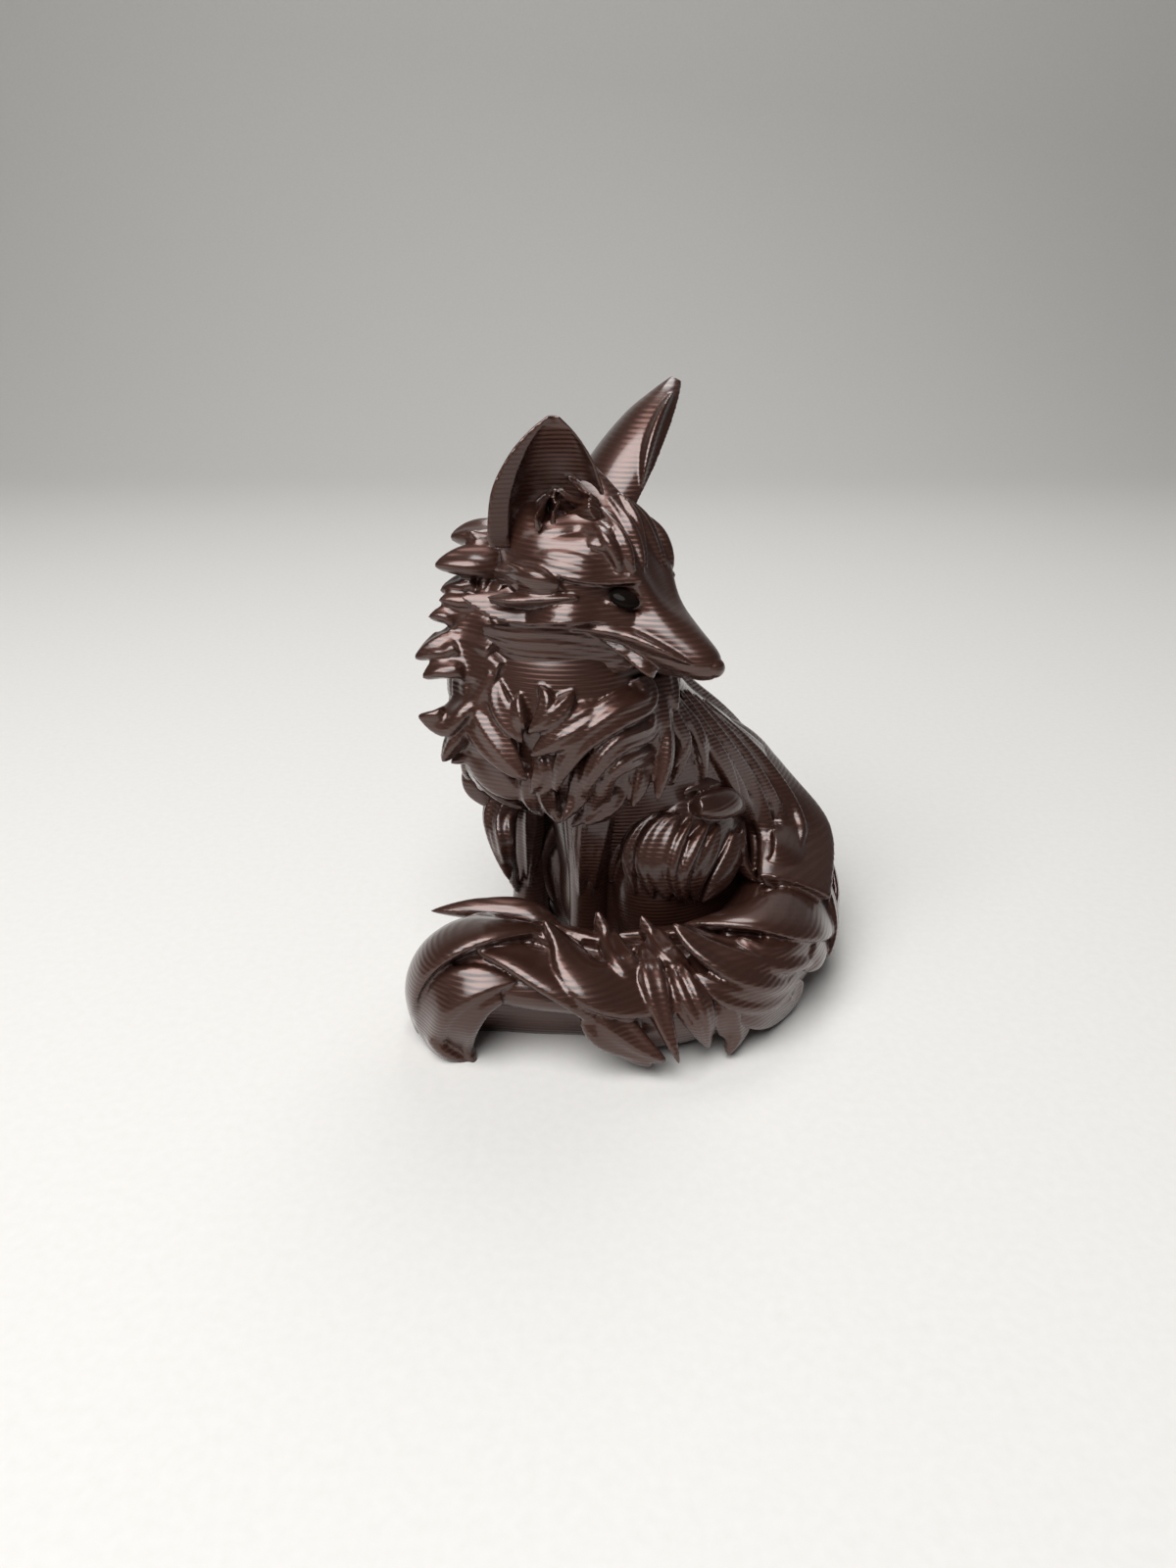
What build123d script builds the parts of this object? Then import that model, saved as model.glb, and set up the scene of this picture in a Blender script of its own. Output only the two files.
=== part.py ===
"""Sitting fox figurine, about 72 mm tall, with its head turned over its left shoulder.

The figurine is a rigid print. It is modelled as the sculpted masses that make it up: torso, head, ears, eyes,
legs, haunches, tail and tufts of fur. Each mass is a separate solid, seated face to face on the mass that
carries it. The frame has +Z up and the viewer on the -Y side. Its origin is on the floor, under the belly.
"""

import os
from math import cos, radians, sin

from build123d import *

# Driving dimensions, in millimetres and degrees
HEADING = 48.0  # the chest faces this far to the viewer's left
SEAT_X = 7.0  # middle of the rump on the floor
SEAT_Y = 9.5
HEAD_AHEAD = 15.2  # middle of the skull, forward of the seat
HEAD_HEIGHT = 53.0
HEAD_TURN = 100.0  # the face is turned this far to the fox's left
HEAD_PITCH = 22.0  # the nose points this far down
HEAD_ROLL = 8.0  # the right side of the head is raised by this tilt
EYE_RADIUS = 1.6
EYE_AHEAD = 8.6  # forward of the skull's middle
EYE_BEARING = 58.0  # round the head from its crown
EYE_SINK = 1.0  # centre of the eye below the skin
NOSE_RADIUS = 1.2
NOSE_SINK = 0.4  # middle of the nose behind the muzzle's end
NOSE_RISE = 0.3  # and above its axis
EAR_WALL = 2.0
EAR_RIM = 0.5
EAR_HOLLOW_RADIUS = 4.4  # hollow in the skull at the foot of each ear's cup
EAR_HOLLOW_AHEAD = -2.8
EAR_HOLLOW_BEARING = 42.0
FORELEG_SPACING = 11.4
FORELEG_SHIFT = -3.2  # the forelegs' midline, to the left of the seat
HAUNCH_SPACING = 14.6
HIND_FOOT_OUT = 5.2  # middle of a hind foot, out from its haunch's
TAIL_SINK = 0.2  # share of a tail section's half height that is cut off flat by the floor
LOCK_TIP = 0.12  # width of a lock's tip, as a share of its widest part
LOCK_ROOT = 45.0  # where a lock's half sine wave of width starts; it ends at its tip

# Half width and half thickness of the locks of each tuft
BROW_SIZE = (1.7, 0.8)
FOREHEAD_SIZE = (2.2, 0.8)
EAR_TUFT_SIZE = (1.5, 0.7)
CHEEK_SIZE = (2.8, 1.2)
RUFF_FRONT_SIZE = (4.0, 1.5)
RUFF_LEFT_SIZE = (3.4, 1.4)
RUFF_RIGHT_SIZE = (3.2, 1.7)
NAPE_SIZE = (3.4, 1.3)
BACK_SIZE = (3.2, 1.4)
HIP_SIZE = (3.4, 1.3)
THIGH_SIZE = (3.2, 1.1)
TAIL_TUFT_SIZE = (3.8, 1.4)
HOOK_SIZE = (5.0, 1.6)

# Torso sections: height, forward of the seat, to the left of it, half length, half width
TORSO_SECTIONS = [
    (0.0, -1.0, 0.0, 16.5, 10.0),
    (6.0, -1.2, 0.0, 18.8, 11.5),
    (13.0, -1.0, 0.0, 19.0, 11.8),
    (21.0, 1.0, -0.3, 18.4, 11.8),
    (29.0, 6.8, -0.8, 15.2, 11.4),
    (36.0, 12.2, -1.5, 12.2, 11.0),
    (HEAD_HEIGHT - 10, 14.5, -1.5, 10.0, 9.5),
    (HEAD_HEIGHT - 4, 15.0, -1.0, 7.0, 7.0),
]

# Ruff sections, in the same order: the thick collar of fur round the neck and chest
RUFF_SECTIONS = [
    (22.5, 19.0, -2.5, 3.0, 4.5),
    (25.0, 18.5, -2.5, 7.0, 9.0),
    (29.0, 17.6, -2.6, 11.0, 12.4),
    (36.0, 16.8, -2.6, 12.4, 13.2),
    (HEAD_HEIGHT - 10, 16.8, -3.2, 11.4, 12.2),
    (HEAD_HEIGHT - 4, 15.5, -4.4, 9.8, 10.2),
    (HEAD_HEIGHT + 1, 14.0, -5.5, 7.2, 7.4),
    (HEAD_HEIGHT + 4, 13.0, -6.0, 4.0, 4.0),
]

# Head sections: forward of the skull's middle, rise, half width, half height
HEAD_SECTIONS = [
    (-9.0, 0.2, 3.6, 3.8),
    (-6.5, -0.2, 6.8, 7.0),
    (-1.5, -0.5, 8.8, 9.0),
    (3.5, -1.1, 8.2, 8.3),
    (8.0, -1.9, 5.9, 6.0),
    (11.5, -2.2, 4.4, 4.3),
    (15.5, -2.3, 3.4, 2.9),
    (19.0, -2.3, 2.3, 1.9),
    (20.4, -2.3, 1.1, 1.0),
]

# Lower jaw sections, in the same order
JAW_SECTIONS = [
    (-1.0, -6.6, 3.8, 4.4),
    (4.0, -6.6, 3.6, 4.6),
    (9.0, -5.9, 2.7, 2.9),
    (13.5, -4.9, 2.1, 1.8),
    (17.4, -4.1, 1.2, 1.0),
]

# Ear sections: share of the way from base to tip, half width, depth of the cup
EAR_SECTIONS = [
    (0.0, 6.2, 5.8),
    (0.35, 6.0, 5.4),
    (0.65, 4.4, 4.1),
    (0.86, 2.4, 2.5),
    (1.0, 0.8, 1.8),
]

# Ears in the head's own axes: base and tip, each forward, to the left and up, then the opening's bearing
EAR_RIGHT = ((-2.2, -5.7, 1.6), (-6.4, -6.4, 13.4), -42.0)
EAR_LEFT = ((-1.8, 5.2, 2.5), (-5.2, 14.3, 18.3), 48.0)

# Foreleg sections: height, forward of the seat, half length, half width
FORELEG_SECTIONS = [
    (0.0, 17.6, 3.1, 2.6),
    (2.5, 17.4, 2.9, 2.5),
    (6.5, 17.0, 2.5, 2.4),
    (13.0, 16.8, 2.6, 2.5),
    (20.0, 16.7, 3.3, 3.2),
    (27.0, 16.4, 4.0, 3.8),
]

# Haunch sections, in the same order
HAUNCH_SECTIONS = [
    (0.0, 5.6, 8.2, 5.6),
    (6.0, 5.8, 9.8, 6.8),
    (13.0, 5.8, 10.6, 7.4),
    (19.0, 5.4, 9.2, 6.6),
    (24.0, 4.8, 6.0, 4.4),
    (26.5, 4.4, 2.0, 1.6),
]

# Hind foot sections, in the same order
HIND_FOOT_SECTIONS = [
    (0.0, 6.0, 7.0, 3.2),
    (2.2, 6.0, 7.0, 3.4),
    (4.4, 5.4, 5.6, 2.8),
    (5.6, 5.0, 3.0, 1.6),
]

# Tail stations: forward of the seat, to the left of it, half width, height; the tail lies on the floor
TAIL_STATIONS = [
    (-13.0, 0.5, 6.0, 16.0),
    (-11.5, 8.5, 7.0, 17.5),
    (-6.0, 14.8, 7.0, 15.0),
    (2.0, 19.2, 7.2, 13.0),
    (12.0, 20.4, 7.2, 12.0),
    (21.5, 17.0, 7.2, 11.5),
    (29.5, 10.5, 7.2, 12.8),
    (35.5, 3.5, 6.6, 14.0),
    (39.0, -2.0, 3.6, 10.5),
]

# The hook at the tail's tip: points forward of the seat, to the left and up, round the middle of its hollow
HOOK_POINTS = [(33.5, 1.0, 12.5), (38.5, -2.2, 10.0), (40.8, -0.6, 5.8), (41.4, 4.2, 2.6), (39.2, 9.2, 1.2)]
HOLLOW_MIDDLE = (34.0, 11.0, 1.0)

# The hollow under the tip's roll: tail station, then its place out and up and its half width and half height,
# as shares of the tail's own there
HOLLOW_SECTIONS = [
    (5, 1.05, -0.45, 0.25, 0.25),
    (6, 0.95, -0.45, 0.62, 0.52),
    (7, 0.95, -0.45, 0.5, 0.5),
]

# Locks of fur. Each is a list of places on the mass that carries it: two coordinates there, then the lift
RUFF_FRONT_LOCKS = [
    [(43.0, -8, -0.8), (38.0, -10, 0.8), (33.0, -4, 1.2), (28.0, 2, 1.2), (24.5, 8, 0.8)],
    [(43.0, 18, -0.8), (38.0, 14, 0.6), (33.0, 22, 1.0), (28.0, 16, 1.2), (23.6, 14, 0.6)],
    [(43.0, 44, -0.8), (38.0, 40, 0.8), (33.0, 44, 1.2), (27.5, 34, 1.2), (24.5, 24, 0.8)],
]
RUFF_LEFT_LOCKS = [
    [(39.5, 79, -0.8), (35.5, 76, 0.9), (31.5, 80, 1.4), (27.0, 76, 1.5)],
    [(39.5, 100, -0.8), (35.5, 97, 0.9), (31.5, 101, 1.4), (28.0, 96, 1.5)],
]
RUFF_RIGHT_LOCKS = [
    [(53.2, -8, -0.8), (53.6, -22, 1.2), (53.6, -36, 3.0), (54.0, -47, 5.6)],
    [(51.0, -6, -0.8), (51.3, -20, 0.8), (51.3, -34, 2.2), (51.0, -46, 4.8)],
    [(48.0, -8, -0.8), (48.2, -22, 0.8), (48.0, -36, 1.8), (47.5, -48, 4.0)],
    [(45.0, -10, -0.8), (45.0, -24, 0.7), (44.5, -37, 1.6), (44.0, -48, 3.6)],
    [(42.0, -12, -0.8), (41.7, -26, 0.7), (41.2, -38, 1.6), (40.5, -49, 3.8)],
    [(39.0, -18, -0.8), (38.4, -30, 0.7), (37.2, -41, 1.6), (35.5, -50, 3.6)],
    [(36.5, -30, -0.8), (35.0, -38, 0.7), (32.5, -46, 1.2), (29.5, -52, 2.4)],
]
NAPE_RIGHT_LOCKS = [
    [(49.0, -104, -0.6), (44.5, -108, 1.2), (40.0, -108, 2.4), (36.5, -104, 4.0)],
    [(49.0, -128, -0.6), (44.5, -132, 1.2), (40.0, -132, 2.2), (36.5, -128, 3.4)],
]
CHEEK_RIGHT_LOCKS = [
    [(5.0, 108, -0.6), (0.0, 112, 0.8), (-4.0, 117, 2.6), (-7.5, 122, 6.4)],
    [(6.0, 121, -0.6), (1.0, 125, 0.8), (-3.0, 129, 2.6), (-6.5, 131, 6.2)],
    [(7.0, 134, -0.6), (3.0, 138, 0.8), (-0.5, 140, 2.5), (-3.5, 140, 5.0)],
]
CHEEK_LEFT_LOCKS = [
    [(6.0, 82, -0.6), (1.5, 86, 0.8), (-2.5, 90, 2.4), (-6.0, 94, 4.6)],
    [(7.0, 101, -0.6), (3.0, 105, 0.8), (-0.5, 108, 2.2), (-4.0, 111, 4.0)],
]
BROW_LOCK = [(12.0, 26, -0.4), (9.5, 40, 0.5), (6.0, 52, 0.9), (1.5, 56, 0.4)]
FOREHEAD_LOCK = [(9.0, 0, -0.4), (4.5, 0, 0.5), (0.0, 0, 0.7), (-5.0, 0, 0.5)]
EAR_LOCK = [(3.0, 30, -0.5), (0.5, 38, 1.0), (-1.5, 44, 2.8), (-2.6, 48, 5.0)]
SPINE_LOCK = [(34.0, 180, -0.8), (28.0, 180, 0.6), (20.0, 180, 1.0), (14.0, 180, 1.2)]
BACK_LOCKS = [
    [(36.0, 128, -0.8), (30.0, 126, 0.4), (24.0, 128, 0.7), (18.0, 126, 1.0)],
    [(35.0, 152, -0.8), (29.0, 150, 0.4), (23.0, 152, 0.8), (17.0, 150, 1.2)],
]
HIP_LOCK = [(27.0, 92, -0.6), (23.0, 96, 1.0), (18.0, 106, 1.6), (13.0, 114, 2.2)]
THIGH_LOCKS = [
    [(23.0, 50, -0.5), (20.0, 56, 0.7), (17.0, 54, 1.0), (14.8, 46, 1.2)],
    [(22.0, 80, -0.5), (19.5, 84, 0.7), (17.2, 82, 1.0), (15.2, 74, 1.2)],
]
TAIL_ROOT_LOCKS = [
    [(1.1, 40, -0.6), (1.5, 46, 0.8), (1.9, 54, 1.2), (2.2, 60, 1.5)],
    [(1.1, 70, -0.6), (1.5, 76, 0.8), (1.9, 88, 1.2), (2.2, 98, 1.5)],
]
TAIL_MIDDLE_LOCKS = [
    [(2.6, -16, -0.6), (3.0, -12, 0.8), (3.4, -18, 1.2), (3.9, -30, 1.6)],
    [(2.6, 16, -0.6), (3.0, 22, 0.8), (3.4, 20, 1.2), (3.9, 10, 1.6)],
    [(2.6, 48, -0.6), (3.0, 54, 0.8), (3.4, 58, 1.2), (3.9, 56, 1.6)],
]
TAIL_FRONT_LOCKS = [
    [(4.3, -18, -0.6), (4.7, -14, 0.8), (5.2, -22, 1.2), (5.7, -34, 1.6)],
    [(4.3, 14, -0.6), (4.7, 20, 0.8), (5.2, 20, 1.2), (5.7, 8, 1.6)],
    [(4.3, 46, -0.6), (4.7, 52, 0.8), (5.2, 60, 1.2), (5.7, 70, 1.4)],
]
TAIL_TIP_LOCKS = [
    [(6.1, -12, -0.6), (6.5, -16, 0.8), (7.0, -24, 1.6), (7.6, -36, 3.0)],
    [(6.1, 20, -0.6), (6.5, 18, 0.8), (6.9, 12, 1.2), (7.3, 4, 1.4)],
]

forward = Vector(-sin(radians(HEADING)), -cos(radians(HEADING)), 0)
left = Vector(cos(radians(HEADING)), -sin(radians(HEADING)), 0)
body_frame = Plane((SEAT_X, SEAT_Y, 0), x_dir=forward, z_dir=(0, 0, 1))
head_level = Plane(body_frame.from_local_coords((HEAD_AHEAD, 0, HEAD_HEIGHT)), x_dir=forward, z_dir=(0, 0, 1))
head_frame = head_level.rotated((0, 0, HEAD_TURN)).rotated((0, HEAD_PITCH, 0)).rotated((HEAD_ROLL, 0, 0))


def between(table, place):
    """The rest of a table's row at a place along its first column, by straight interpolation."""
    last = len(table) - 2
    index = max([0] + [row for row in range(last + 1) if table[row][0] <= place])
    low, high = table[index], table[index + 1]
    share = (place - low[0]) / (high[0] - low[0])
    return [a + (b - a) * share for a, b in zip(low[1:], high[1:])]


def in_body(ahead, to_left, height):
    """A point given forward of the seat, to the fox's left and up."""
    return body_frame.from_local_coords(Vector(ahead, to_left, height))


def in_head(ahead, to_left, rise):
    """A point given in the head's own axes."""
    return head_frame.from_local_coords(Vector(ahead, to_left, rise))


def level_plane(ahead, to_left, height):
    """A level plane, with its x axis towards the chest and y to the fox's left."""
    return Plane(in_body(ahead, to_left, height), x_dir=forward, z_dir=(0, 0, 1))


def head_plane(ahead, rise):
    """A plane square to the head's axis, with its x axis to the fox's left and y up through the skull."""
    return Plane(in_head(ahead, 0, rise), x_dir=head_frame.y_dir, z_dir=head_frame.x_dir)


def tail_plane(index):
    """The upright plane square to the tail at a station, with its x axis to the outer side and y up."""
    last = len(TAIL_STATIONS) - 1
    before = TAIL_STATIONS[max(index - 1, 0)]
    after = TAIL_STATIONS[min(index + 1, last)]
    ahead, to_left, half_width, height = TAIL_STATIONS[index]
    half_height = height / (2 - TAIL_SINK)
    middle = in_body(ahead, to_left, height - half_height)
    along = in_body(after[0], after[1], 0) - in_body(before[0], before[1], 0)
    return Plane(middle, x_dir=Vector(0, 0, 1).cross(along), z_dir=along), half_width, half_height


def over_level(sections, height, bearing, lift):
    """A point over a mass of level sections; the bearing is from the chest, positive to the fox's left."""
    ahead, to_left, half_length, half_width = between(sections, height)
    out = (half_length + lift) * cos(radians(bearing))
    side = (half_width + lift) * sin(radians(bearing))
    return in_body(ahead + out, to_left + side, height)


def on_torso(height, bearing, lift):
    """A point over the torso's skin."""
    return over_level(TORSO_SECTIONS, height, bearing, lift)


def on_ruff(height, bearing, lift):
    """A point over the ruff's skin."""
    return over_level(RUFF_SECTIONS, height, bearing, lift)


def on_head(ahead, bearing, lift):
    """A point over the head's skin; the bearing is from the crown, positive to the fox's left."""
    rise, half_width, half_height = between(HEAD_SECTIONS, ahead)
    side = (half_width + lift) * sin(radians(bearing))
    return in_head(ahead, side, rise + (half_height + lift) * cos(radians(bearing)))


def on_haunch(height, bearing, lift):
    """A point over the left haunch's skin; the bearing is from its front, positive to the fox's left."""
    ahead, half_length, half_width = between(HAUNCH_SECTIONS, height)
    out = (half_length + lift) * cos(radians(bearing))
    return in_body(ahead + out, HAUNCH_SPACING / 2 + (half_width + lift) * sin(radians(bearing)), height)


def on_tail(station, bearing, lift):
    """A point over the tail's skin; the bearing is from its top, positive to the outer side."""
    index = min(int(station), len(TAIL_STATIONS) - 2)
    points = []
    for place in (index, index + 1):
        plane, half_width, half_height = tail_plane(place)
        side = (half_width + lift) * sin(radians(bearing))
        points.append(plane.from_local_coords(Vector(side, (half_height + lift) * cos(radians(bearing)), 0)))
    return points[0] + (points[1] - points[0]) * (station - index)


def on_hook(station, rise, lift):
    """A point of the hook at the tail's tip, raised, and lifted away from the middle of its hollow."""
    point = Vector(*HOOK_POINTS[station])
    point = point + (point - Vector(*HOLLOW_MIDDLE)).normalized() * lift + Vector(0, 0, rise)
    return in_body(point.X, point.Y, point.Z)


def lock(surface, stations, size):
    """A leaf-shaped lock of fur over a surface: lens sections along a path, widest before its middle."""
    points = [surface(*station) for station in stations]
    last = len(points) - 1
    sections = []
    for index, (place, bearing, lift) in enumerate(stations):
        outward = surface(place, bearing, lift + 1) - points[index]
        along = points[min(index + 1, last)] - points[max(index - 1, 0)]
        share = LOCK_TIP + (1 - LOCK_TIP) * sin(radians(LOCK_ROOT + (180 - LOCK_ROOT) * index / last))
        side, bulge = size[0] * share, size[1] * share
        section_plane = Plane(points[index], x_dir=outward.cross(along), z_dir=along)
        with BuildSketch(section_plane) as section:
            with BuildLine():
                ThreePointArc((-side, 0), (0, bulge), (side, 0))
                ThreePointArc((side, 0), (0, -bulge), (-side, 0))
            make_face()
        sections.append(section.sketch)
    loft(sections=sections)


def eye_plane(bearing):
    """The plane through an eye's middle, square to the line of sight."""
    middle = on_head(EYE_AHEAD, bearing, -EYE_SINK)
    return Plane(middle, x_dir=head_frame.x_dir, z_dir=on_head(EYE_AHEAD, bearing, 0) - middle)


def tuft(surface, locks, size):
    """Locks side by side, joined where they overlap."""
    for stations in locks:
        lock(surface, stations, size)


def mirrored(locks):
    """The same locks on the other side, where their bearing is turned round."""
    return [[(place, -bearing, lift) for place, bearing, lift in stations] for stations in locks]


def ear(place):
    """A cupped ear: crescent sections from its base to its tip, open towards a bearing from the face."""
    base, tip, bearing = place
    base_point, tip_point = in_head(*base), in_head(*tip)
    axis = tip_point - base_point
    opening = in_head(cos(radians(bearing)), sin(radians(bearing)), 0) - in_head(0, 0, 0)
    sections = []
    for share, half_width, depth in EAR_SECTIONS:
        inner = half_width - EAR_RIM
        with BuildSketch(Plane(base_point + axis * share, x_dir=opening.cross(axis), z_dir=axis)) as section:
            with BuildLine():
                ThreePointArc((-half_width, 0), (0, -depth), (half_width, 0))
                Line((half_width, 0), (inner, 0))
                ThreePointArc((inner, 0), (0, EAR_WALL - depth), (-inner, 0))
                Line((-inner, 0), (-half_width, 0))
            make_face()
        sections.append(section.sketch)
    loft(sections=sections)


def limb_loft(sections, to_left):
    """A limb lofted through level ellipses, all at one place to the fox's left."""
    ellipses = []
    for height, ahead, half_length, half_width in sections:
        with BuildSketch(level_plane(ahead, to_left, height)) as section:
            Ellipse(half_length, half_width)
        ellipses.append(section.sketch)
    loft(sections=ellipses)


def tail_loft(first, last):
    """A stretch of the tail between two of its stations, cut flat where it lies on the floor."""
    ellipses = []
    for index in range(first, last + 1):
        plane, half_width, half_height = tail_plane(index)
        with BuildSketch(plane) as section:
            Ellipse(half_width, half_height)
        ellipses.append(section.sketch)
    loft(sections=ellipses)
    split(bisect_by=Plane.XY, keep=Keep.TOP)


def hollow_loft():
    """The room of the hollow under the tail's tip: ellipses low on the outer side of the tail's stations."""
    ellipses = []
    for index, out, rise, width_share, height_share in HOLLOW_SECTIONS:
        plane, half_width, half_height = tail_plane(index)
        with BuildSketch(plane) as section:
            with Locations((out * half_width, rise * half_height)):
                Ellipse(width_share * half_width, height_share * half_height)
        ellipses.append(section.sketch)
    loft(sections=ellipses, mode=Mode.SUBTRACT)


def ear_hollow(side):
    """The hollow in the skull at the foot of one ear."""
    with Locations(on_head(EAR_HOLLOW_AHEAD, side * EAR_HOLLOW_BEARING, 0)):
        Sphere(EAR_HOLLOW_RADIUS, mode=Mode.SUBTRACT)


def body_loft(sections):
    """A mass lofted through level ellipses that each have their own place."""
    ellipses = []
    for height, ahead, to_left, half_length, half_width in sections:
        with BuildSketch(level_plane(ahead, to_left, height)) as section:
            Ellipse(half_length, half_width)
        ellipses.append(section.sketch)
    loft(sections=ellipses)


def head_loft(sections):
    """A mass lofted through ellipses square to the head's axis."""
    ellipses = []
    for ahead, rise, half_width, half_height in sections:
        with BuildSketch(head_plane(ahead, rise)) as section:
            Ellipse(half_width, half_height)
        ellipses.append(section.sketch)
    loft(sections=ellipses)


def cut(*pieces):
    """Take the room of other pieces out of the one being made, so that it seats on them."""
    for piece in pieces:
        add(piece.part, clean=False, mode=Mode.SUBTRACT)


# Eyes, glossy beads set into the face
with BuildPart() as eye_right:
    with Locations(eye_plane(-EYE_BEARING)):
        Sphere(EYE_RADIUS)

with BuildPart() as eye_left:
    with Locations(eye_plane(EYE_BEARING)):
        Sphere(EYE_RADIUS)

# Head, with a socket for each eye and a hollow at the foot of each ear
with BuildPart() as head:
    head_loft(HEAD_SECTIONS)
    ear_hollow(-1)
    ear_hollow(1)
    cut(eye_right, eye_left)

with BuildPart() as lower_jaw:
    head_loft(JAW_SECTIONS)
    cut(head)

with BuildPart() as nose:
    with Locations(in_head(HEAD_SECTIONS[-1][0] - NOSE_SINK, 0, HEAD_SECTIONS[-1][1] + NOSE_RISE)):
        Sphere(NOSE_RADIUS)
    cut(head)

with BuildPart() as ear_right:
    ear(EAR_RIGHT)
    cut(head)

with BuildPart() as ear_left:
    ear(EAR_LEFT)
    cut(head)

# Torso, from the rump on the floor up through the chest to the neck, and the ruff round it
with BuildPart() as torso:
    body_loft(TORSO_SECTIONS)
    cut(head, lower_jaw)

with BuildPart() as ruff:
    body_loft(RUFF_SECTIONS)
    cut(head, lower_jaw, ear_right, ear_left, torso)

# Legs, haunches and feet
with BuildPart() as foreleg_right:
    limb_loft(FORELEG_SECTIONS, FORELEG_SHIFT - FORELEG_SPACING / 2)
    cut(torso, ruff)

with BuildPart() as foreleg_left:
    limb_loft(FORELEG_SECTIONS, FORELEG_SHIFT + FORELEG_SPACING / 2)
    cut(torso, ruff)

with BuildPart() as haunch_right:
    limb_loft(HAUNCH_SECTIONS, -HAUNCH_SPACING / 2)
    cut(torso, foreleg_right)

with BuildPart() as haunch_left:
    limb_loft(HAUNCH_SECTIONS, HAUNCH_SPACING / 2)
    cut(torso, foreleg_left)

with BuildPart() as hind_foot_right:
    limb_loft(HIND_FOOT_SECTIONS, -HAUNCH_SPACING / 2 - HIND_FOOT_OUT)
    cut(torso, haunch_right)

with BuildPart() as hind_foot_left:
    limb_loft(HIND_FOOT_SECTIONS, HAUNCH_SPACING / 2 + HIND_FOOT_OUT)
    cut(torso, haunch_left)

# Tail, in four stretches that meet on flat faces, with a hook at its tip round a hollow
with BuildPart() as tail_root:
    tail_loft(0, 2)
    cut(torso, haunch_left)

with BuildPart() as tail_middle:
    tail_loft(2, 4)
    cut(torso, haunch_left, hind_foot_left)

with BuildPart() as tail_front:
    tail_loft(4, 6)
    hollow_loft()
    cut(hind_foot_left, foreleg_left)

with BuildPart() as tail_tip:
    tail_loft(6, 8)
    hollow_loft()

with BuildPart() as tail_hook:
    lock(on_hook, [(station, 0, 0) for station in range(len(HOOK_POINTS))], HOOK_SIZE)
    split(bisect_by=Plane.XY, keep=Keep.TOP)
    cut(tail_front, tail_tip)

# Tufts of fur on the head
with BuildPart() as brow_right:
    tuft(on_head, mirrored([BROW_LOCK]), BROW_SIZE)
    cut(head, eye_right)

with BuildPart() as brow_left:
    tuft(on_head, [BROW_LOCK], BROW_SIZE)
    cut(head, eye_left)

with BuildPart() as forehead_lock:
    tuft(on_head, [FOREHEAD_LOCK], FOREHEAD_SIZE)
    cut(head)

with BuildPart() as ear_tuft_right:
    tuft(on_head, mirrored([EAR_LOCK]), EAR_TUFT_SIZE)
    cut(head, ear_right)

with BuildPart() as ear_tuft_left:
    tuft(on_head, [EAR_LOCK], EAR_TUFT_SIZE)
    cut(head, ear_left)

with BuildPart() as cheek_tuft_right:
    tuft(on_head, mirrored(CHEEK_RIGHT_LOCKS), CHEEK_SIZE)
    cut(head, lower_jaw, ruff, torso)

with BuildPart() as cheek_tuft_left:
    tuft(on_head, CHEEK_LEFT_LOCKS, CHEEK_SIZE)
    cut(head, lower_jaw, ruff, torso)

# Tufts of fur round the neck and chest
with BuildPart() as ruff_front_locks:
    tuft(on_ruff, RUFF_FRONT_LOCKS, RUFF_FRONT_SIZE)
    cut(ruff)

with BuildPart() as ruff_left_locks:
    tuft(on_ruff, RUFF_LEFT_LOCKS, RUFF_LEFT_SIZE)
    cut(ruff, torso)

with BuildPart() as ruff_right_locks:
    tuft(on_ruff, RUFF_RIGHT_LOCKS, RUFF_RIGHT_SIZE)
    cut(ruff, head, lower_jaw, ear_right, cheek_tuft_right, torso, ruff_front_locks)

with BuildPart() as nape_right_locks:
    tuft(on_ruff, NAPE_RIGHT_LOCKS, NAPE_SIZE)
    cut(ruff, torso)

# Tufts of fur along the back, over the hips and on the thigh
with BuildPart() as spine_lock:
    tuft(on_torso, [SPINE_LOCK], BACK_SIZE)
    cut(torso)

with BuildPart() as back_left_locks:
    tuft(on_torso, BACK_LOCKS, BACK_SIZE)
    cut(torso)

with BuildPart() as back_right_locks:
    tuft(on_torso, mirrored(BACK_LOCKS), BACK_SIZE)
    cut(torso)

with BuildPart() as hip_left_lock:
    tuft(on_torso, [HIP_LOCK], HIP_SIZE)
    cut(torso, haunch_left, tail_root)

with BuildPart() as hip_right_lock:
    tuft(on_torso, mirrored([HIP_LOCK]), HIP_SIZE)
    cut(torso, haunch_right)

with BuildPart() as thigh_left_locks:
    tuft(on_haunch, THIGH_LOCKS, THIGH_SIZE)
    cut(haunch_left, torso)

# Tufts of fur along the tail
with BuildPart() as tail_root_locks:
    tuft(on_tail, TAIL_ROOT_LOCKS, TAIL_TUFT_SIZE)
    cut(tail_root, tail_middle)

with BuildPart() as tail_middle_locks:
    tuft(on_tail, TAIL_MIDDLE_LOCKS, TAIL_TUFT_SIZE)
    cut(tail_middle, haunch_left, hind_foot_left)

with BuildPart() as tail_front_locks:
    tuft(on_tail, TAIL_FRONT_LOCKS, TAIL_TUFT_SIZE)
    cut(tail_front)

with BuildPart() as tail_tip_locks:
    tuft(on_tail, TAIL_TIP_LOCKS, TAIL_TUFT_SIZE)
    cut(tail_tip, tail_hook)

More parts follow.
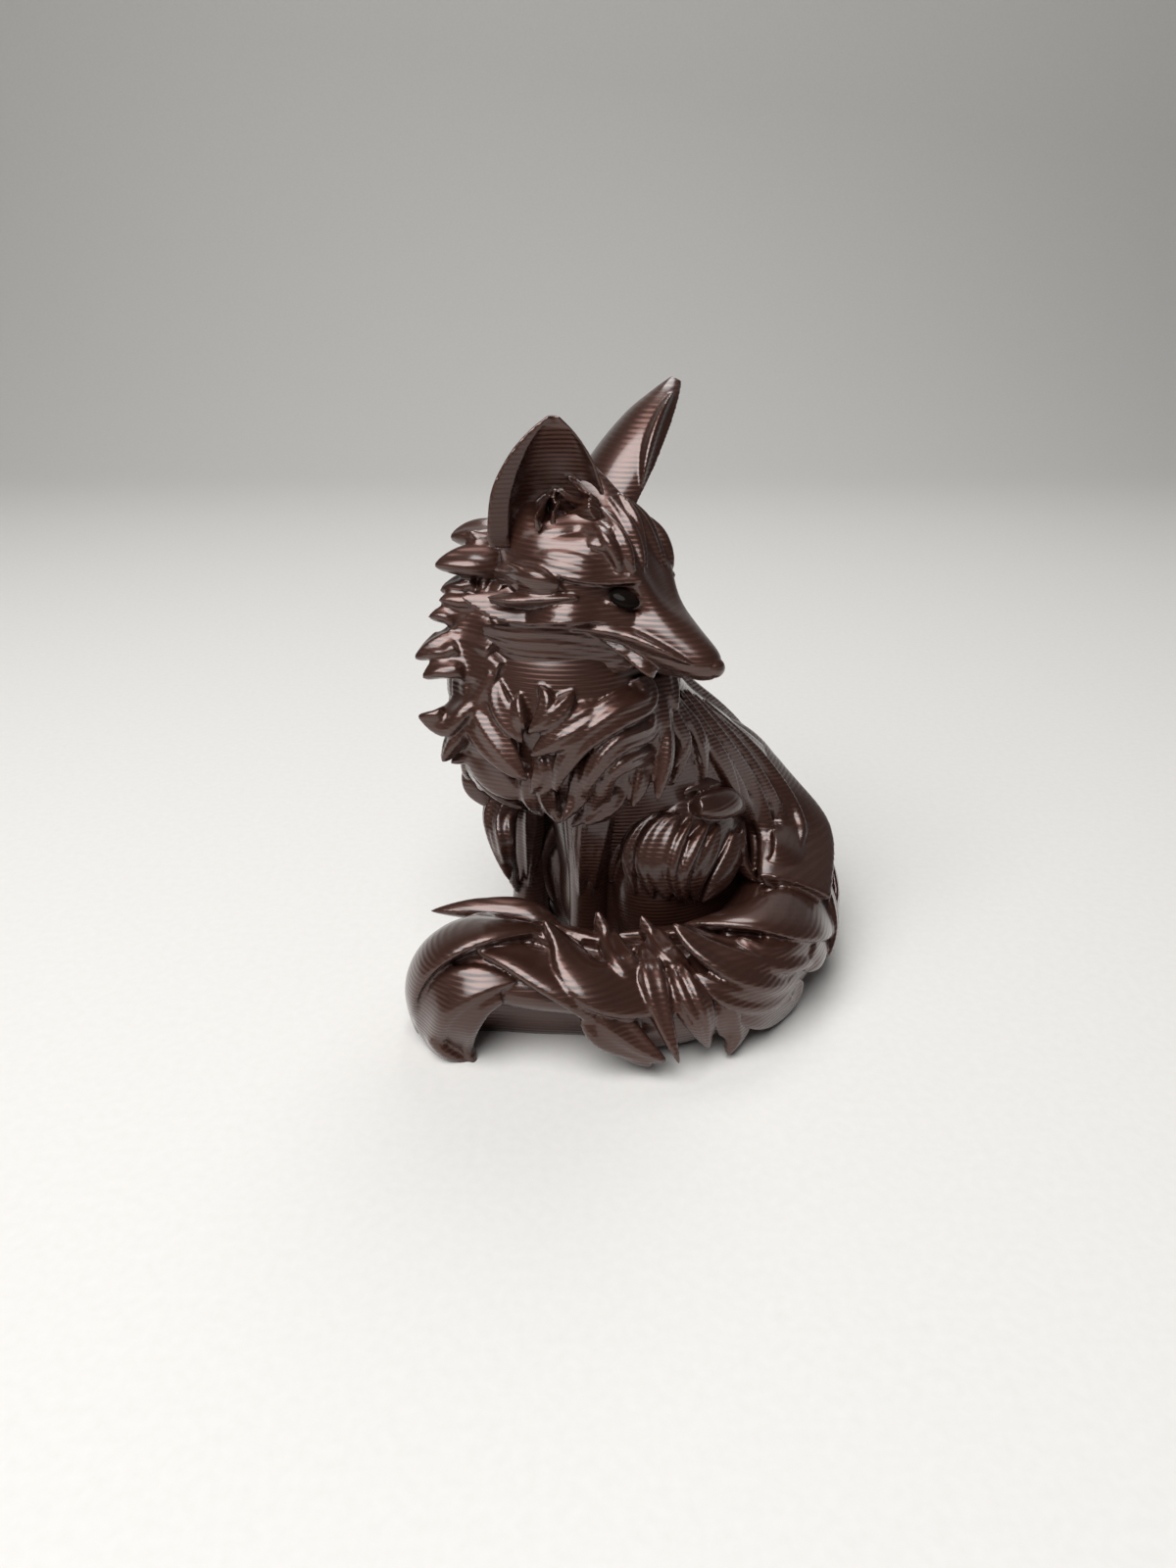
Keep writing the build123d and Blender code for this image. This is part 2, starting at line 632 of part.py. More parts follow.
PIECES = {
    "torso": torso, "ruff": ruff, "head": head, "lower_jaw": lower_jaw, "nose": nose,
    "eye_right": eye_right, "eye_left": eye_left, "ear_right": ear_right, "ear_left": ear_left,
    "foreleg_right": foreleg_right, "foreleg_left": foreleg_left,
    "haunch_right": haunch_right, "haunch_left": haunch_left,
    "hind_foot_right": hind_foot_right, "hind_foot_left": hind_foot_left,
    "tail_root": tail_root, "tail_middle": tail_middle, "tail_front": tail_front, "tail_tip": tail_tip,
    "tail_hook": tail_hook,
    "brow_right": brow_right, "brow_left": brow_left, "forehead_lock": forehead_lock,
    "ear_tuft_right": ear_tuft_right, "ear_tuft_left": ear_tuft_left,
    "cheek_tuft_right": cheek_tuft_right, "cheek_tuft_left": cheek_tuft_left,
    "ruff_front_locks": ruff_front_locks, "ruff_left_locks": ruff_left_locks,
    "ruff_right_locks": ruff_right_locks, "nape_right_locks": nape_right_locks,
    "spine_lock": spine_lock, "back_left_locks": back_left_locks, "back_right_locks": back_right_locks,
    "hip_left_lock": hip_left_lock, "hip_right_lock": hip_right_lock, "thigh_left_locks": thigh_left_locks,
    "tail_root_locks": tail_root_locks, "tail_middle_locks": tail_middle_locks,
    "tail_front_locks": tail_front_locks, "tail_tip_locks": tail_tip_locks,
}
os.makedirs("parts", exist_ok=True)
for label, piece in PIECES.items():
    piece.part.label = label
    export_step(piece.part, f"parts/{label}.step")
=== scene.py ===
"""Sitting fox figurine: a one-piece print in dark brown silk PLA with glossy black eyes.

Shapes are worked out in millimetres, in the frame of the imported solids, and go into their meshes in metres.
Every printed piece is a set of closed skins, the masses and the locks of fur on them, fused into one.
"""

import bpy
import numpy as np
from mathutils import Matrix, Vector
from mathutils.bvhtree import BVHTree


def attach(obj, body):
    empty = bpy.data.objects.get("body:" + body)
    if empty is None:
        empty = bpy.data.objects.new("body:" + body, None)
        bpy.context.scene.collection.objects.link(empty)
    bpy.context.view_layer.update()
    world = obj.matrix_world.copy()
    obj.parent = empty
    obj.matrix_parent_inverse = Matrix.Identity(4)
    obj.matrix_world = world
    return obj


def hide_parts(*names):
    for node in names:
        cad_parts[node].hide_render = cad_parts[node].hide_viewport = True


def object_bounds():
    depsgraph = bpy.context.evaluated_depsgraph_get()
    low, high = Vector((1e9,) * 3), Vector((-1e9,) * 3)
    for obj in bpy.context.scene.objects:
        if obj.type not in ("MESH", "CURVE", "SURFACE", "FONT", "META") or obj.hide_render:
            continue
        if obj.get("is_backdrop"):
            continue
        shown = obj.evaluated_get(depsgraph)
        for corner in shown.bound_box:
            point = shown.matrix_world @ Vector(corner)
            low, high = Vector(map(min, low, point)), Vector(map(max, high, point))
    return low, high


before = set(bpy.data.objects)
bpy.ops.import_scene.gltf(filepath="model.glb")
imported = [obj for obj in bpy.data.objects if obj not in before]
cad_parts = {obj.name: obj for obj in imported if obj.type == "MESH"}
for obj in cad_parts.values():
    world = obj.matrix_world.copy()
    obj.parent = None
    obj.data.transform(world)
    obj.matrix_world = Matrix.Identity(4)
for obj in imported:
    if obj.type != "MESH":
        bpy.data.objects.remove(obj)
cad_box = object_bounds()

# Camera, which looks down on the figurine by 25 degrees from about 13 cm away
# A sight line through a point of the picture also gives the place of each lock of fur on the mass below it.
MM = 0.001
PICTURE_WIDTH, PICTURE_HEIGHT = 1200.0, 1600.0
FOCAL_LENGTH = 1150.0  # in points of the picture
SENSOR = 36.0
LOOK_DOWN = np.radians(25.0)
EYE_POINT = np.array([-4.0, -126.5, 83.4])
FIRST_DEPTH = 145.0  # how far along a first sight line that misses looks for the nearest mass
RIGHTWARD = np.array([1.0, 0.0, 0.0])
LOOK = np.array([0.0, np.cos(LOOK_DOWN), -np.sin(LOOK_DOWN)])
UPRIGHT = np.array([0.0, np.sin(LOOK_DOWN), np.cos(LOOK_DOWN)])

lens = bpy.data.cameras.new("camera")
lens.sensor_fit = "VERTICAL"
lens.sensor_height = SENSOR
lens.lens = SENSOR * FOCAL_LENGTH / PICTURE_HEIGHT
lens.clip_start = 0.01
camera = bpy.data.objects.new("camera", lens)
camera.location = EYE_POINT * MM
camera.rotation_euler = (np.pi / 2 - LOOK_DOWN, 0.0, 0.0)
bpy.context.scene.collection.objects.link(camera)
bpy.context.scene.camera = camera


def sight(x, y):
    """Sight line through a point of the picture: one step ahead plus the offset over the focal length."""
    across = (x - PICTURE_WIDTH / 2) / FOCAL_LENGTH
    rise = (PICTURE_HEIGHT / 2 - y) / FOCAL_LENGTH
    return LOOK + RIGHTWARD * across + UPRIGHT * rise


# Floor and light: a pale sheet under two soft boxes and an even sky
# The sheet runs up behind the figurine, so that its edge stays out of sight.
FLOOR_REACH, FLOOR_RISE, FLOOR_SIDE, FLOOR_BEND = 600.0, 900.0, 900.0, 250.0
LAMP_AIM = Vector((0.0, 0.0, 0.035))


def linear(code):
    """Linear colour of an sRGB hex code: a channel up to 0.04045 over 12.92, or a power of 2.4 above it."""
    srgb = np.array([int(code[i:i + 2], 16) for i in (1, 3, 5)]) / 255
    curve = np.where(srgb <= 0.04045, srgb / 12.92, ((srgb + 0.055) / 1.055) ** 2.4)
    return (*curve.tolist(), 1.0)


def node(tree, kind, inputs=None, **settings):
    """Adds a node, gives it its settings, and sets or links its inputs."""
    made = tree.nodes.new(kind)
    for name, value in settings.items():
        setattr(made, name, value)
    for name, value in (inputs or {}).items():
        if isinstance(value, bpy.types.NodeSocket):
            tree.links.new(value, made.inputs[name])
        else:
            made.inputs[name].default_value = value
    return made


# Matt paper from a roll, which shows no gloss and only the faint cloud of its fibres
FIBRES = 0.9  # to the millimetre
paper = bpy.data.materials.new("matt_paper")
paper.use_nodes = True
paper_shader = paper.node_tree.nodes["Principled BSDF"]
paper_shader.inputs["Roughness"].default_value = 0.9
paper_place = node(paper.node_tree, "ShaderNodeTexCoord")
paper_fibre = node(paper.node_tree, "ShaderNodeTexNoise",
                   {"Vector": paper_place.outputs["Object"], "Scale": FIBRES / MM, "Detail": 3.0})
paper_tone = node(paper.node_tree, "ShaderNodeMix", data_type="RGBA", inputs={
    0: paper_fibre.outputs["Fac"], 6: linear("#cfcdc9"), 7: linear("#d7d5d2")})
paper.node_tree.links.new(paper_tone.outputs[2], paper_shader.inputs["Base Color"])


def sweep_up(count):
    """Profile of the sheet: flat, then a quarter circle, then upright."""
    turn = np.linspace(0.0, np.pi / 2, count)
    flat = [(-FLOOR_REACH, 0.0)]
    arc = np.stack([FLOOR_REACH - FLOOR_BEND + FLOOR_BEND * np.sin(turn),
                    FLOOR_BEND - FLOOR_BEND * np.cos(turn)], axis=-1)
    return np.concatenate([flat, arc, [(FLOOR_REACH, FLOOR_RISE)]])


sheet_profile = sweep_up(24)
sheet_sides = np.array([-FLOOR_SIDE, FLOOR_SIDE])
sheet_grid = np.stack([
    np.broadcast_to(sheet_sides, (len(sheet_profile), 2)),
    np.broadcast_to(sheet_profile[:, :1], (len(sheet_profile), 2)),
    np.broadcast_to(sheet_profile[:, 1:], (len(sheet_profile), 2)),
], axis=-1)
sheet_index = np.arange(sheet_grid.shape[0] * 2).reshape(-1, 2)
sheet_quads = np.concatenate([sheet_index[:-1], sheet_index[1:, ::-1]], axis=1)
sheet_mesh = bpy.data.meshes.new("floor")
sheet_mesh.from_pydata((sheet_grid.reshape(-1, 3) * MM).tolist(), [], sheet_quads.tolist())
sheet_mesh.shade_smooth()
sheet_mesh.materials.append(paper)
floor = bpy.data.objects.new("floor", sheet_mesh)
bpy.context.scene.collection.objects.link(floor)
floor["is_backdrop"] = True

sky = bpy.data.worlds.new("sky")
bpy.context.scene.world = sky
sky.use_nodes = True
sky.node_tree.nodes["Background"].inputs["Color"].default_value = linear("#f2f3f6")
sky.node_tree.nodes["Background"].inputs["Strength"].default_value = 0.08
bpy.context.scene.view_settings.view_transform = "Standard"

for name, place, size, power in (
    ("key_box", (-0.14, -0.22, 0.46), 0.50, 4.2),
    ("back_box", (0.05, 0.26, 0.40), 0.20, 0.5),
):
    box = bpy.data.lights.new(name, "AREA")
    box.shape = "DISK"
    box.size = size
    box.energy = power
    lamp = bpy.data.objects.new(name, box)
    lamp.location = place
    lamp.rotation_euler = (LAMP_AIM - Vector(place)).to_track_quat("-Z", "Y").to_euler()
    bpy.context.scene.collection.objects.link(lamp)

# Silk PLA, the plastic that the whole figurine is printed in
# It is laid in layers of about 0.2 mm and has a satin sheen that runs along them.
# They are drawn 0.5 mm apart here, because finer ones would be too fine to show in the render.
LAYER = 0.5
BEAD_SHARE = 0.16  # how far the round edge of a layer stands out, as a share of its step
SHEEN_PATCH = 9.0  # the width of the lighter and darker patches of the plastic
silk = bpy.data.materials.new("silk_pla_print")
silk.use_nodes = True
silk_tree = silk.node_tree
silk_shader = silk_tree.nodes["Principled BSDF"]
silk_shader.inputs["Metallic"].default_value = 0.6
silk_shader.inputs["IOR"].default_value = 1.47
silk_shader.inputs["Coat Weight"].default_value = 1.0
silk_shader.inputs["Coat Roughness"].default_value = 0.18
silk_place = node(silk_tree, "ShaderNodeTexCoord")
silk_cloud = node(silk_tree, "ShaderNodeTexNoise",
                  {"Vector": silk_place.outputs["Object"], "Scale": 1 / (SHEEN_PATCH * MM), "Detail": 4.0})
silk_tone = node(silk_tree, "ShaderNodeMix", data_type="RGBA", inputs={
    0: silk_cloud.outputs["Fac"], 6: linear("#3a231b"), 7: linear("#523229")})
silk_tree.links.new(silk_tone.outputs[2], silk_shader.inputs["Base Color"])
silk_gloss = node(silk_tree, "ShaderNodeMapRange",
                  {"Value": silk_cloud.outputs["Fac"], "To Min": 0.30, "To Max": 0.40})
silk_tree.links.new(silk_gloss.outputs["Result"], silk_shader.inputs["Roughness"])
silk_height = node(silk_tree, "ShaderNodeSeparateXYZ", {"Vector": silk_place.outputs["Object"]})
silk_layer = node(silk_tree, "ShaderNodeMath",
                  {0: silk_height.outputs["Z"], 1: 1 / (LAYER * MM)}, operation="MULTIPLY")
silk_step = node(silk_tree, "ShaderNodeMath", {0: silk_layer.outputs[0]}, operation="FRACT")
silk_face = node(silk_tree, "ShaderNodeNewGeometry")
silk_slope = node(silk_tree, "ShaderNodeSeparateXYZ", {"Vector": silk_face.outputs["Normal"]})
silk_tread = node(silk_tree, "ShaderNodeMath",
                  {0: silk_step.outputs[0], 1: silk_slope.outputs["Z"]}, operation="MULTIPLY")
silk_turn = node(silk_tree, "ShaderNodeMath",
                 {0: silk_layer.outputs[0], 1: 2 * np.pi}, operation="MULTIPLY")
silk_bead = node(silk_tree, "ShaderNodeMath", {0: silk_turn.outputs[0]}, operation="SINE")
silk_relief = node(silk_tree, "ShaderNodeMath",
                   {0: silk_bead.outputs[0], 1: BEAD_SHARE, 2: silk_tread.outputs[0]},
                   operation="MULTIPLY_ADD")
silk_bump = node(silk_tree, "ShaderNodeBump",
                 {"Height": silk_relief.outputs[0], "Strength": 0.8, "Distance": 0.3 * LAYER * MM})
silk_tree.links.new(silk_bump.outputs["Normal"], silk_shader.inputs["Normal"])

# Torso, the mass that everything else grows from
# It is part of the one print; long ridges of fur run down the back to a flap over the hip.
SEAT = np.array([7.0, 9.5, 0.0])
HEADING = np.radians(48.0)
FORWARD = np.array([-np.sin(HEADING), -np.cos(HEADING), 0.0])
LEFT = np.array([np.cos(HEADING), -np.sin(HEADING), 0.0])
UP = np.array([0.0, 0.0, 1.0])
VOXEL, TORSO_VOXEL = 0.24, 0.28  # the cubes that fuse the skins of a piece into one


def body_point(ahead, to_left, height):
    """A point given forward of the seat, to the fox's left and up."""
    ahead, to_left, height = (part[..., None] for part in np.broadcast_arrays(ahead, to_left, height))
    return SEAT + ahead * FORWARD + to_left * LEFT + height * UP


def through(points, count):
    """Smooth line through points: a cubic between two, with slopes taken from the points beside them."""
    points = np.asarray(points, float)
    slopes = np.gradient(points, axis=0)
    place = np.linspace(0.0, len(points) - 1.0, count)
    index = np.minimum(place.astype(int), len(points) - 2)
    t = (place - index)[:, None]
    start = (2 * t**3 - 3 * t**2 + 1) * points[index] + (t**3 - 2 * t**2 + t) * slopes[index]
    return start + (3 * t**2 - 2 * t**3) * points[index + 1] + (t**3 - t**2) * slopes[index + 1]


def unit(vectors):
    """Vectors over their own length."""
    return vectors / np.maximum(np.linalg.norm(vectors, axis=-1, keepdims=True), 1e-9)


def capped(grid):
    """A grid of rings with a ring shrunk to one point added at each end, so that it is closed."""
    first = np.broadcast_to(grid[:1].mean(axis=1, keepdims=True), grid[:1].shape)
    last = np.broadcast_to(grid[-1:].mean(axis=1, keepdims=True), grid[-1:].shape)
    return np.concatenate([first, grid, last])


def level_mass(table, inset=0.0, dents=(), rows=110, around=144):
    """Level ellipses; each row gives height, middle forward and to the left, half length and half width.

    An inset draws the whole skin in, to leave room for locks of fur over it. A dent draws it in by a bell
    curve in the height and in the bearing from the chest to the left.
    """
    height, ahead, to_left, half_length, half_width = through(table, rows).T[..., None]
    turn = np.linspace(-np.pi, np.pi, around, endpoint=False)
    drawn_in = inset + np.zeros((rows, around))
    for level, bearing, rise, spread, depth in dents:
        away = ((height - level) / rise) ** 2 + ((np.degrees(turn) - bearing) / spread) ** 2
        drawn_in += depth * np.exp(-away)
    out = ahead + (half_length - drawn_in) * np.cos(turn)
    return capped(body_point(out, to_left + (half_width - drawn_in) * np.sin(turn), height + 0 * turn))


def joined(grids):
    """Vertices and quads of closed grids: each ring is linked to the next, its last point to its first."""
    quads, count = [], 0
    for grid in grids:
        index = count + np.arange(grid.shape[0] * grid.shape[1]).reshape(grid.shape[:2])
        beside = np.roll(index, -1, axis=1)
        quads.append(np.stack([index[:-1], beside[:-1], beside[1:], index[1:]], axis=-1).reshape(-1, 4))
        count += index.size
    return np.concatenate([grid.reshape(-1, 3) for grid in grids]), np.concatenate(quads)


def carrier(*grids):
    """Search tree of the masses that locks are laid on."""
    vertices, quads = joined(grids)
    return BVHTree.FromPolygons(vertices.tolist(), quads.tolist())


def seen(mass, points):
    """Where sight lines through points of the picture meet a mass.

    A first line that misses takes the nearest point of the mass, and a later one goes as deep as the last.
    """
    spots, normals, depth = [], [], FIRST_DEPTH
    for x, y in points:
        line = sight(x, y)
        spot, normal = mass.ray_cast(EYE_POINT.tolist(), line.tolist())[:2]
        if spot is None and normals:
            spot, normal = EYE_POINT + line * depth, normals[-1]
        elif spot is None:
            spot, normal = mass.find_nearest((EYE_POINT + line * depth).tolist())[:2]
        spots.append(np.array(spot))
        normals.append(np.array(normal))
        depth = (spots[-1] - EYE_POINT) @ LOOK
    return np.array(spots), np.array(normals)


def leaf(spots, normals, half_width, thickness, roll=0.0, lift=0.5, furrows=2, keel=1.8, root=0.2, sink=0.7,
         blunt=0.0, rows=44, around=28):
    """A lock of fur: a lens section with furrows on top and a keel below, carried along a path over a mass.

    Its width follows a power of a sine, from its root to its point, or to a blunt end. It starts sunk in the
    mass, its tip is lifted off it, and the section is rolled about the path, so that one edge stands free.
    """
    t = np.linspace(0.0, 1.0, rows)[:, None]
    normal = unit(through(normals, rows))
    path = through(spots, rows) + normal * (lift * t**1.5 - sink * (1 - t) ** 3)
    along = unit(np.gradient(path, axis=0))
    side = unit(np.cross(normal, along))
    out = np.cross(along, side)
    angle = np.radians(roll)
    side, out = side * np.cos(angle) + out * np.sin(angle), out * np.cos(angle) - side * np.sin(angle)
    share = np.maximum(np.sin(np.pi * (root + (1 - root - blunt) * t)), 0.0) ** 0.8
    turn = np.linspace(0.0, 2 * np.pi, around, endpoint=False)
    across, bulge = np.cos(turn), np.sin(turn)
    ridges = 1 - 0.35 * (0.5 - 0.5 * np.cos(np.pi * furrows * (across + 1)))
    wide = half_width * share * across
    high = np.where(bulge > 0, thickness * ridges * bulge, -keel * bulge**2) * share**0.7
    return capped(path[:, None] + side[:, None] * wide[..., None] + out[:, None] * high[..., None])


def laid(mass, locks):
    """Locks of fur on a mass, each given by its path in points of the picture and its leaf's shape."""
    return [leaf(*seen(mass, path), *shape) for path, shape in locks]


def printed(name, grids, *nodes, voxel=VOXEL):
    """One printed piece: closed skins fused by small cubes, relaxed a little and cut off at the floor."""
    vertices, quads = joined(grids)
    rough = bpy.data.meshes.new(name)
    rough.from_pydata((vertices * MM).tolist(), [], quads.tolist())
    piece = bpy.data.objects.new(name, rough)
    bpy.context.scene.collection.objects.link(piece)
    fuse = piece.modifiers.new("fuse", "REMESH")
    fuse.mode = "VOXEL"
    fuse.voxel_size = voxel * MM
    relax = piece.modifiers.new("relax", "SMOOTH")
    relax.factor = 0.5
    relax.iterations = 1
    skin = bpy.data.meshes.new_from_object(piece.evaluated_get(bpy.context.evaluated_depsgraph_get()))
    piece.modifiers.clear()
    piece.data = skin
    bpy.data.meshes.remove(rough)
    skin.name = name
    place = np.empty(len(skin.vertices) * 3, np.float32)
    skin.vertices.foreach_get("co", place)
    place[2::3] = np.maximum(place[2::3], 0.0)
    skin.vertices.foreach_set("co", place)
    skin.shade_smooth()
    skin.materials.clear()
    skin.materials.append(silk)
    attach(piece, "root")
    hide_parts(*nodes)
    return piece


def mirrored(grid, middle, across):
    """A grid on the other side of a plane: each point moves by twice its distance to it."""
    return grid - 2 * ((grid - middle) @ across)[..., None] * across


def level_places(table, places):
    """Points and outward directions over level sections, at heights and bearings from chest to left."""
    height, bearing = np.array(places, float).T
    columns = np.array(table, float).T
    ahead, to_left, length, width = (np.interp(height, columns[0], column) for column in columns[1:])
    turn = np.radians(bearing)
    spots = body_point(ahead + length * np.cos(turn), to_left + width * np.sin(turn), height)
    return spots, np.cos(turn)[:, None] * FORWARD + np.sin(turn)[:, None] * LEFT


TORSO = [
    (0.0, -1.0, 0.0, 16.5, 10.0),
    (6.0, -1.2, 0.0, 18.8, 11.5),
    (13.0, -1.0, 0.0, 19.0, 11.8),
    (21.0, 1.0, -0.3, 18.4, 11.8),
    (29.0, 6.8, -0.8, 15.2, 11.4),
    (36.0, 12.2, -1.5, 12.2, 11.0),
    (43.0, 14.5, -1.5, 10.0, 9.5),
    (49.0, 15.0, -1.0, 7.0, 7.0),
]
THROAT = (47.0, 45.0, 5.0, 40.0, 0.6)  # a dent: height, bearing, rise, spread and depth
# Rows of locks that the picture hides: their top and their length
BACK_ROWS = ((45.0, 20.0), (31.0, 19.0), (18.0, 15.0))
torso = level_mass(TORSO, 0.5, [THROAT])
torso_tree = carrier(level_mass(TORSO))
# A lock's shape is its half width, thickness, roll, lift, furrows, keel, root, sink and blunt end
back_locks = laid(torso_tree, [
    ([(662, 700), (670, 735), (672, 768), (668, 800)], (1.0, 1.1, -10, 0.3, 1)),
    ([(674, 700), (688, 735), (698, 762), (684, 804)], (1.1, 1.1, 12, 0.3, 1)),
    ([(684, 702), (708, 742), (716, 768), (718, 798)], (1.1, 1.1, -12, 0.3, 1)),
    ([(700, 716), (724, 756), (742, 790), (756, 830)], (1.2, 1.1, 12, 0.4, 1)),
    ([(722, 722), (760, 752), (792, 782), (818, 818)], (1.4, 0.7, 0, 0.0, 1, 1.6, 0.05, 0.2)),
])
back_locks += [mirrored(lock, SEAT, LEFT) for lock in back_locks]
for row, (top, drop) in enumerate(BACK_ROWS):
    for bearing in np.arange(172.0, 282.0, 13.0) + 6.5 * (row % 2):
        sway = 4.0 * np.sin(2.3 * bearing + row)
        back_locks.append(leaf(*level_places(TORSO, [
            (top, bearing), (top - 0.4 * drop, bearing + sway), (top - 0.75 * drop, bearing - sway),
            (top - drop, bearing + sway)]), 1.7, 0.9, 6, 0.3, 1, 1.6, 0.05, 0.5))
printed("fox_torso", [torso, *back_locks],
        "torso", "spine_lock", "back_left_locks", "back_right_locks", "hip_right_lock", voxel=TORSO_VOXEL)

# Haunches, the two thighs folded against the belly
# The print's layers show as fine contour lines on top of them, and long grooves curve down each thigh.
HAUNCH_SPACING, THIGH_INSET = 14.6, 0.6
HAUNCH = [
    (0.0, 5.6, 8.2, 5.6),
    (6.0, 5.8, 9.8, 6.8),
    (13.0, 5.8, 10.6, 7.4),
    (19.0, 5.4, 9.2, 6.6),
    (24.0, 4.8, 6.0, 4.4),
    (26.5, 4.4, 2.0, 1.6),
]


def limb_rows(table, to_left):
    """A limb's rows of height, forward, half length and half width, set at one place to the fox's left."""
    return [(height, ahead, to_left, length, width) for height, ahead, length, width in table]


def limb(table, to_left, inset=0.0):
    """A limb as a level mass from its rows."""
    return level_mass(limb_rows(table, to_left), inset, rows=80)


haunch_left = limb(HAUNCH, HAUNCH_SPACING / 2, THIGH_INSET)
haunch_tree = carrier(limb(HAUNCH, HAUNCH_SPACING / 2))
thigh_locks = laid(haunch_tree, [
    ([(668, 815), (645, 840), (628, 870), (622, 902)], (1.1, 1.0, 0, 0.0, 0, 1.4, 0.05, 0.2)),
    ([(673, 826), (651, 848), (641, 876), (648, 914)], (1.0, 1.2, 0, 0.0, 0, 1.4, 0.05, 0.2)),
    ([(681, 830), (663, 852), (655, 882), (668, 918)], (1.1, 1.2, 10, 0.0, 0, 1.4, 0.05, 0.2)),
    ([(692, 830), (676, 856), (669, 887), (684, 920)], (1.6, 1.3, 0, 0.0, 1, 1.4, 0.05, 0.2)),
    ([(706, 836), (691, 862), (685, 892), (694, 922)], (0.9, 1.3, 0, 0.0, 0, 1.4, 0.05, 0.2)),
    ([(722, 840), (706, 866), (696, 895), (700, 924)], (1.0, 1.3, -10, 0.0, 0, 1.4, 0.05, 0.2)),
    ([(736, 842), (724, 868), (711, 896), (709, 922)], (1.5, 1.1, 0, 0.0, 1, 1.4, 0.05, 0.2)),
    ([(752, 850), (746, 876), (732, 900), (716, 922)], (1.9, 1.0, 8, 0.0, 0, 1.6, 0.1, 0.2)),
    ([(690, 806), (700, 802), (716, 800), (735, 800)], (1.2, 1.0, 0, 0.3, 1)),
    ([(766, 820), (748, 818), (728, 822), (708, 824)], (2.0, 1.3, 14, 0.8, 0, 1.8, 0.2, 0.7, 0.2)),
    ([(764, 838), (756, 856), (755, 876), (766, 900)], (1.1, 1.0, -14, 0.9, 1)),
])
printed("fox_haunch_left", [haunch_left, *thigh_locks], "haunch_left", "thigh_left_locks")
haunch_right = limb(HAUNCH, -HAUNCH_SPACING / 2, THIGH_INSET)
right_thigh_locks = [
    leaf(*level_places(limb_rows(HAUNCH, -HAUNCH_SPACING / 2), [
        (24.5, -95.0 + 0.4 * (bearing + 95.0)), (19.0, bearing + 10.0),
        (12.0, bearing - 6.0), (5.0, bearing + 4.0)]), 1.5, 1.1, 0, 0.2, 0, 1.4, 0.05, 0.4)
    for bearing in np.arange(-190.0, 20.0, 15.0)
]
printed("fox_haunch_right", [haunch_right, *right_thigh_locks], "haunch_right")

# Forelegs and hind feet, printed with the body, which stand on the floor behind the tail
# They are plain tapered columns with short fur at the elbow, and each foot ends in four rounded toes.
FORELEG_MIDDLE, FORELEG_SPACING = -3.2, 11.4
FORELEG = [
    (0.0, 17.6, 3.1, 2.6),
    (2.5, 17.4, 2.9, 2.5),
    (6.5, 17.0, 2.5, 2.4),
    (13.0, 16.8, 2.6, 2.5),
    (20.0, 16.7, 3.3, 3.2),
    (27.0, 16.4, 4.0, 3.8),
]
HIND_FOOT_SPACING = 25.0
HIND_FOOT = [
    (0.0, 6.0, 7.0, 3.2),
    (2.2, 6.0, 7.0, 3.4),
    (4.4, 5.4, 5.6, 2.8),
    (5.6, 5.0, 3.0, 1.6),
]


def toes(ahead, to_left, spread, reach):
    """Four toes side by side: flat leaves that fan out forward of a foot along the floor."""
    made = []
    for place in (-1.5, -0.5, 0.5, 1.5):
        side = to_left + place * spread
        spots = body_point(
            np.array([ahead - reach, ahead - 0.4 * reach, ahead + 0.3 * reach, ahead + 0.7 * reach]),
            np.array([side, side, side + 0.1 * place, side + 0.2 * place]),
            np.array([1.6, 1.7, 1.2, 0.5]))
        made.append(leaf(spots, np.tile(UP, (4, 1)), 0.62 * spread, 1.2,
                         furrows=0, lift=0.0, sink=0.0, root=0.35))
    return made


ELBOW_LOCKS = {
    "right": [
        ([(528, 800), (514, 830), (516, 868), (528, 912)], (2.0, 1.6, 0, 0.0, 2, 2.4, 0.3, 0.2)),
        ([(520, 800), (503, 826), (506, 858), (520, 900)], (1.6, 1.4, 0, 0.0, 2, 2.4, 0.3, 0.2)),
        ([(548, 806), (546, 835), (544, 865), (540, 905)], (1.4, 1.0, 0, 0.0, 2, 1.8, 0.2, 0.2)),
    ],
    "left": [
        ([(600, 815), (596, 845), (594, 880), (592, 915)], (1.3, 0.9, 0, 0.0, 2, 1.8, 0.2, 0.2)),
        ([(622, 815), (616, 845), (610, 875), (603, 915)], (1.4, 1.0, 0, 0.0, 2, 1.8, 0.2, 0.2)),
    ],
}
for name, side in (("right", -1), ("left", 1)):
    foreleg_place = FORELEG_MIDDLE + side * FORELEG_SPACING / 2
    foreleg = limb(FORELEG, foreleg_place)
    elbow_locks = laid(carrier(foreleg), ELBOW_LOCKS[name])
    printed("fox_foreleg_" + name, [foreleg, *elbow_locks, *toes(20.0, foreleg_place, 1.3, 2.4)],
            "foreleg_" + name)
    foot_place = side * HIND_FOOT_SPACING / 2
    printed("fox_hind_foot_" + name, [limb(HIND_FOOT, foot_place), *toes(12.4, foot_place, 1.5, 3.0)],
            "hind_foot_" + name)

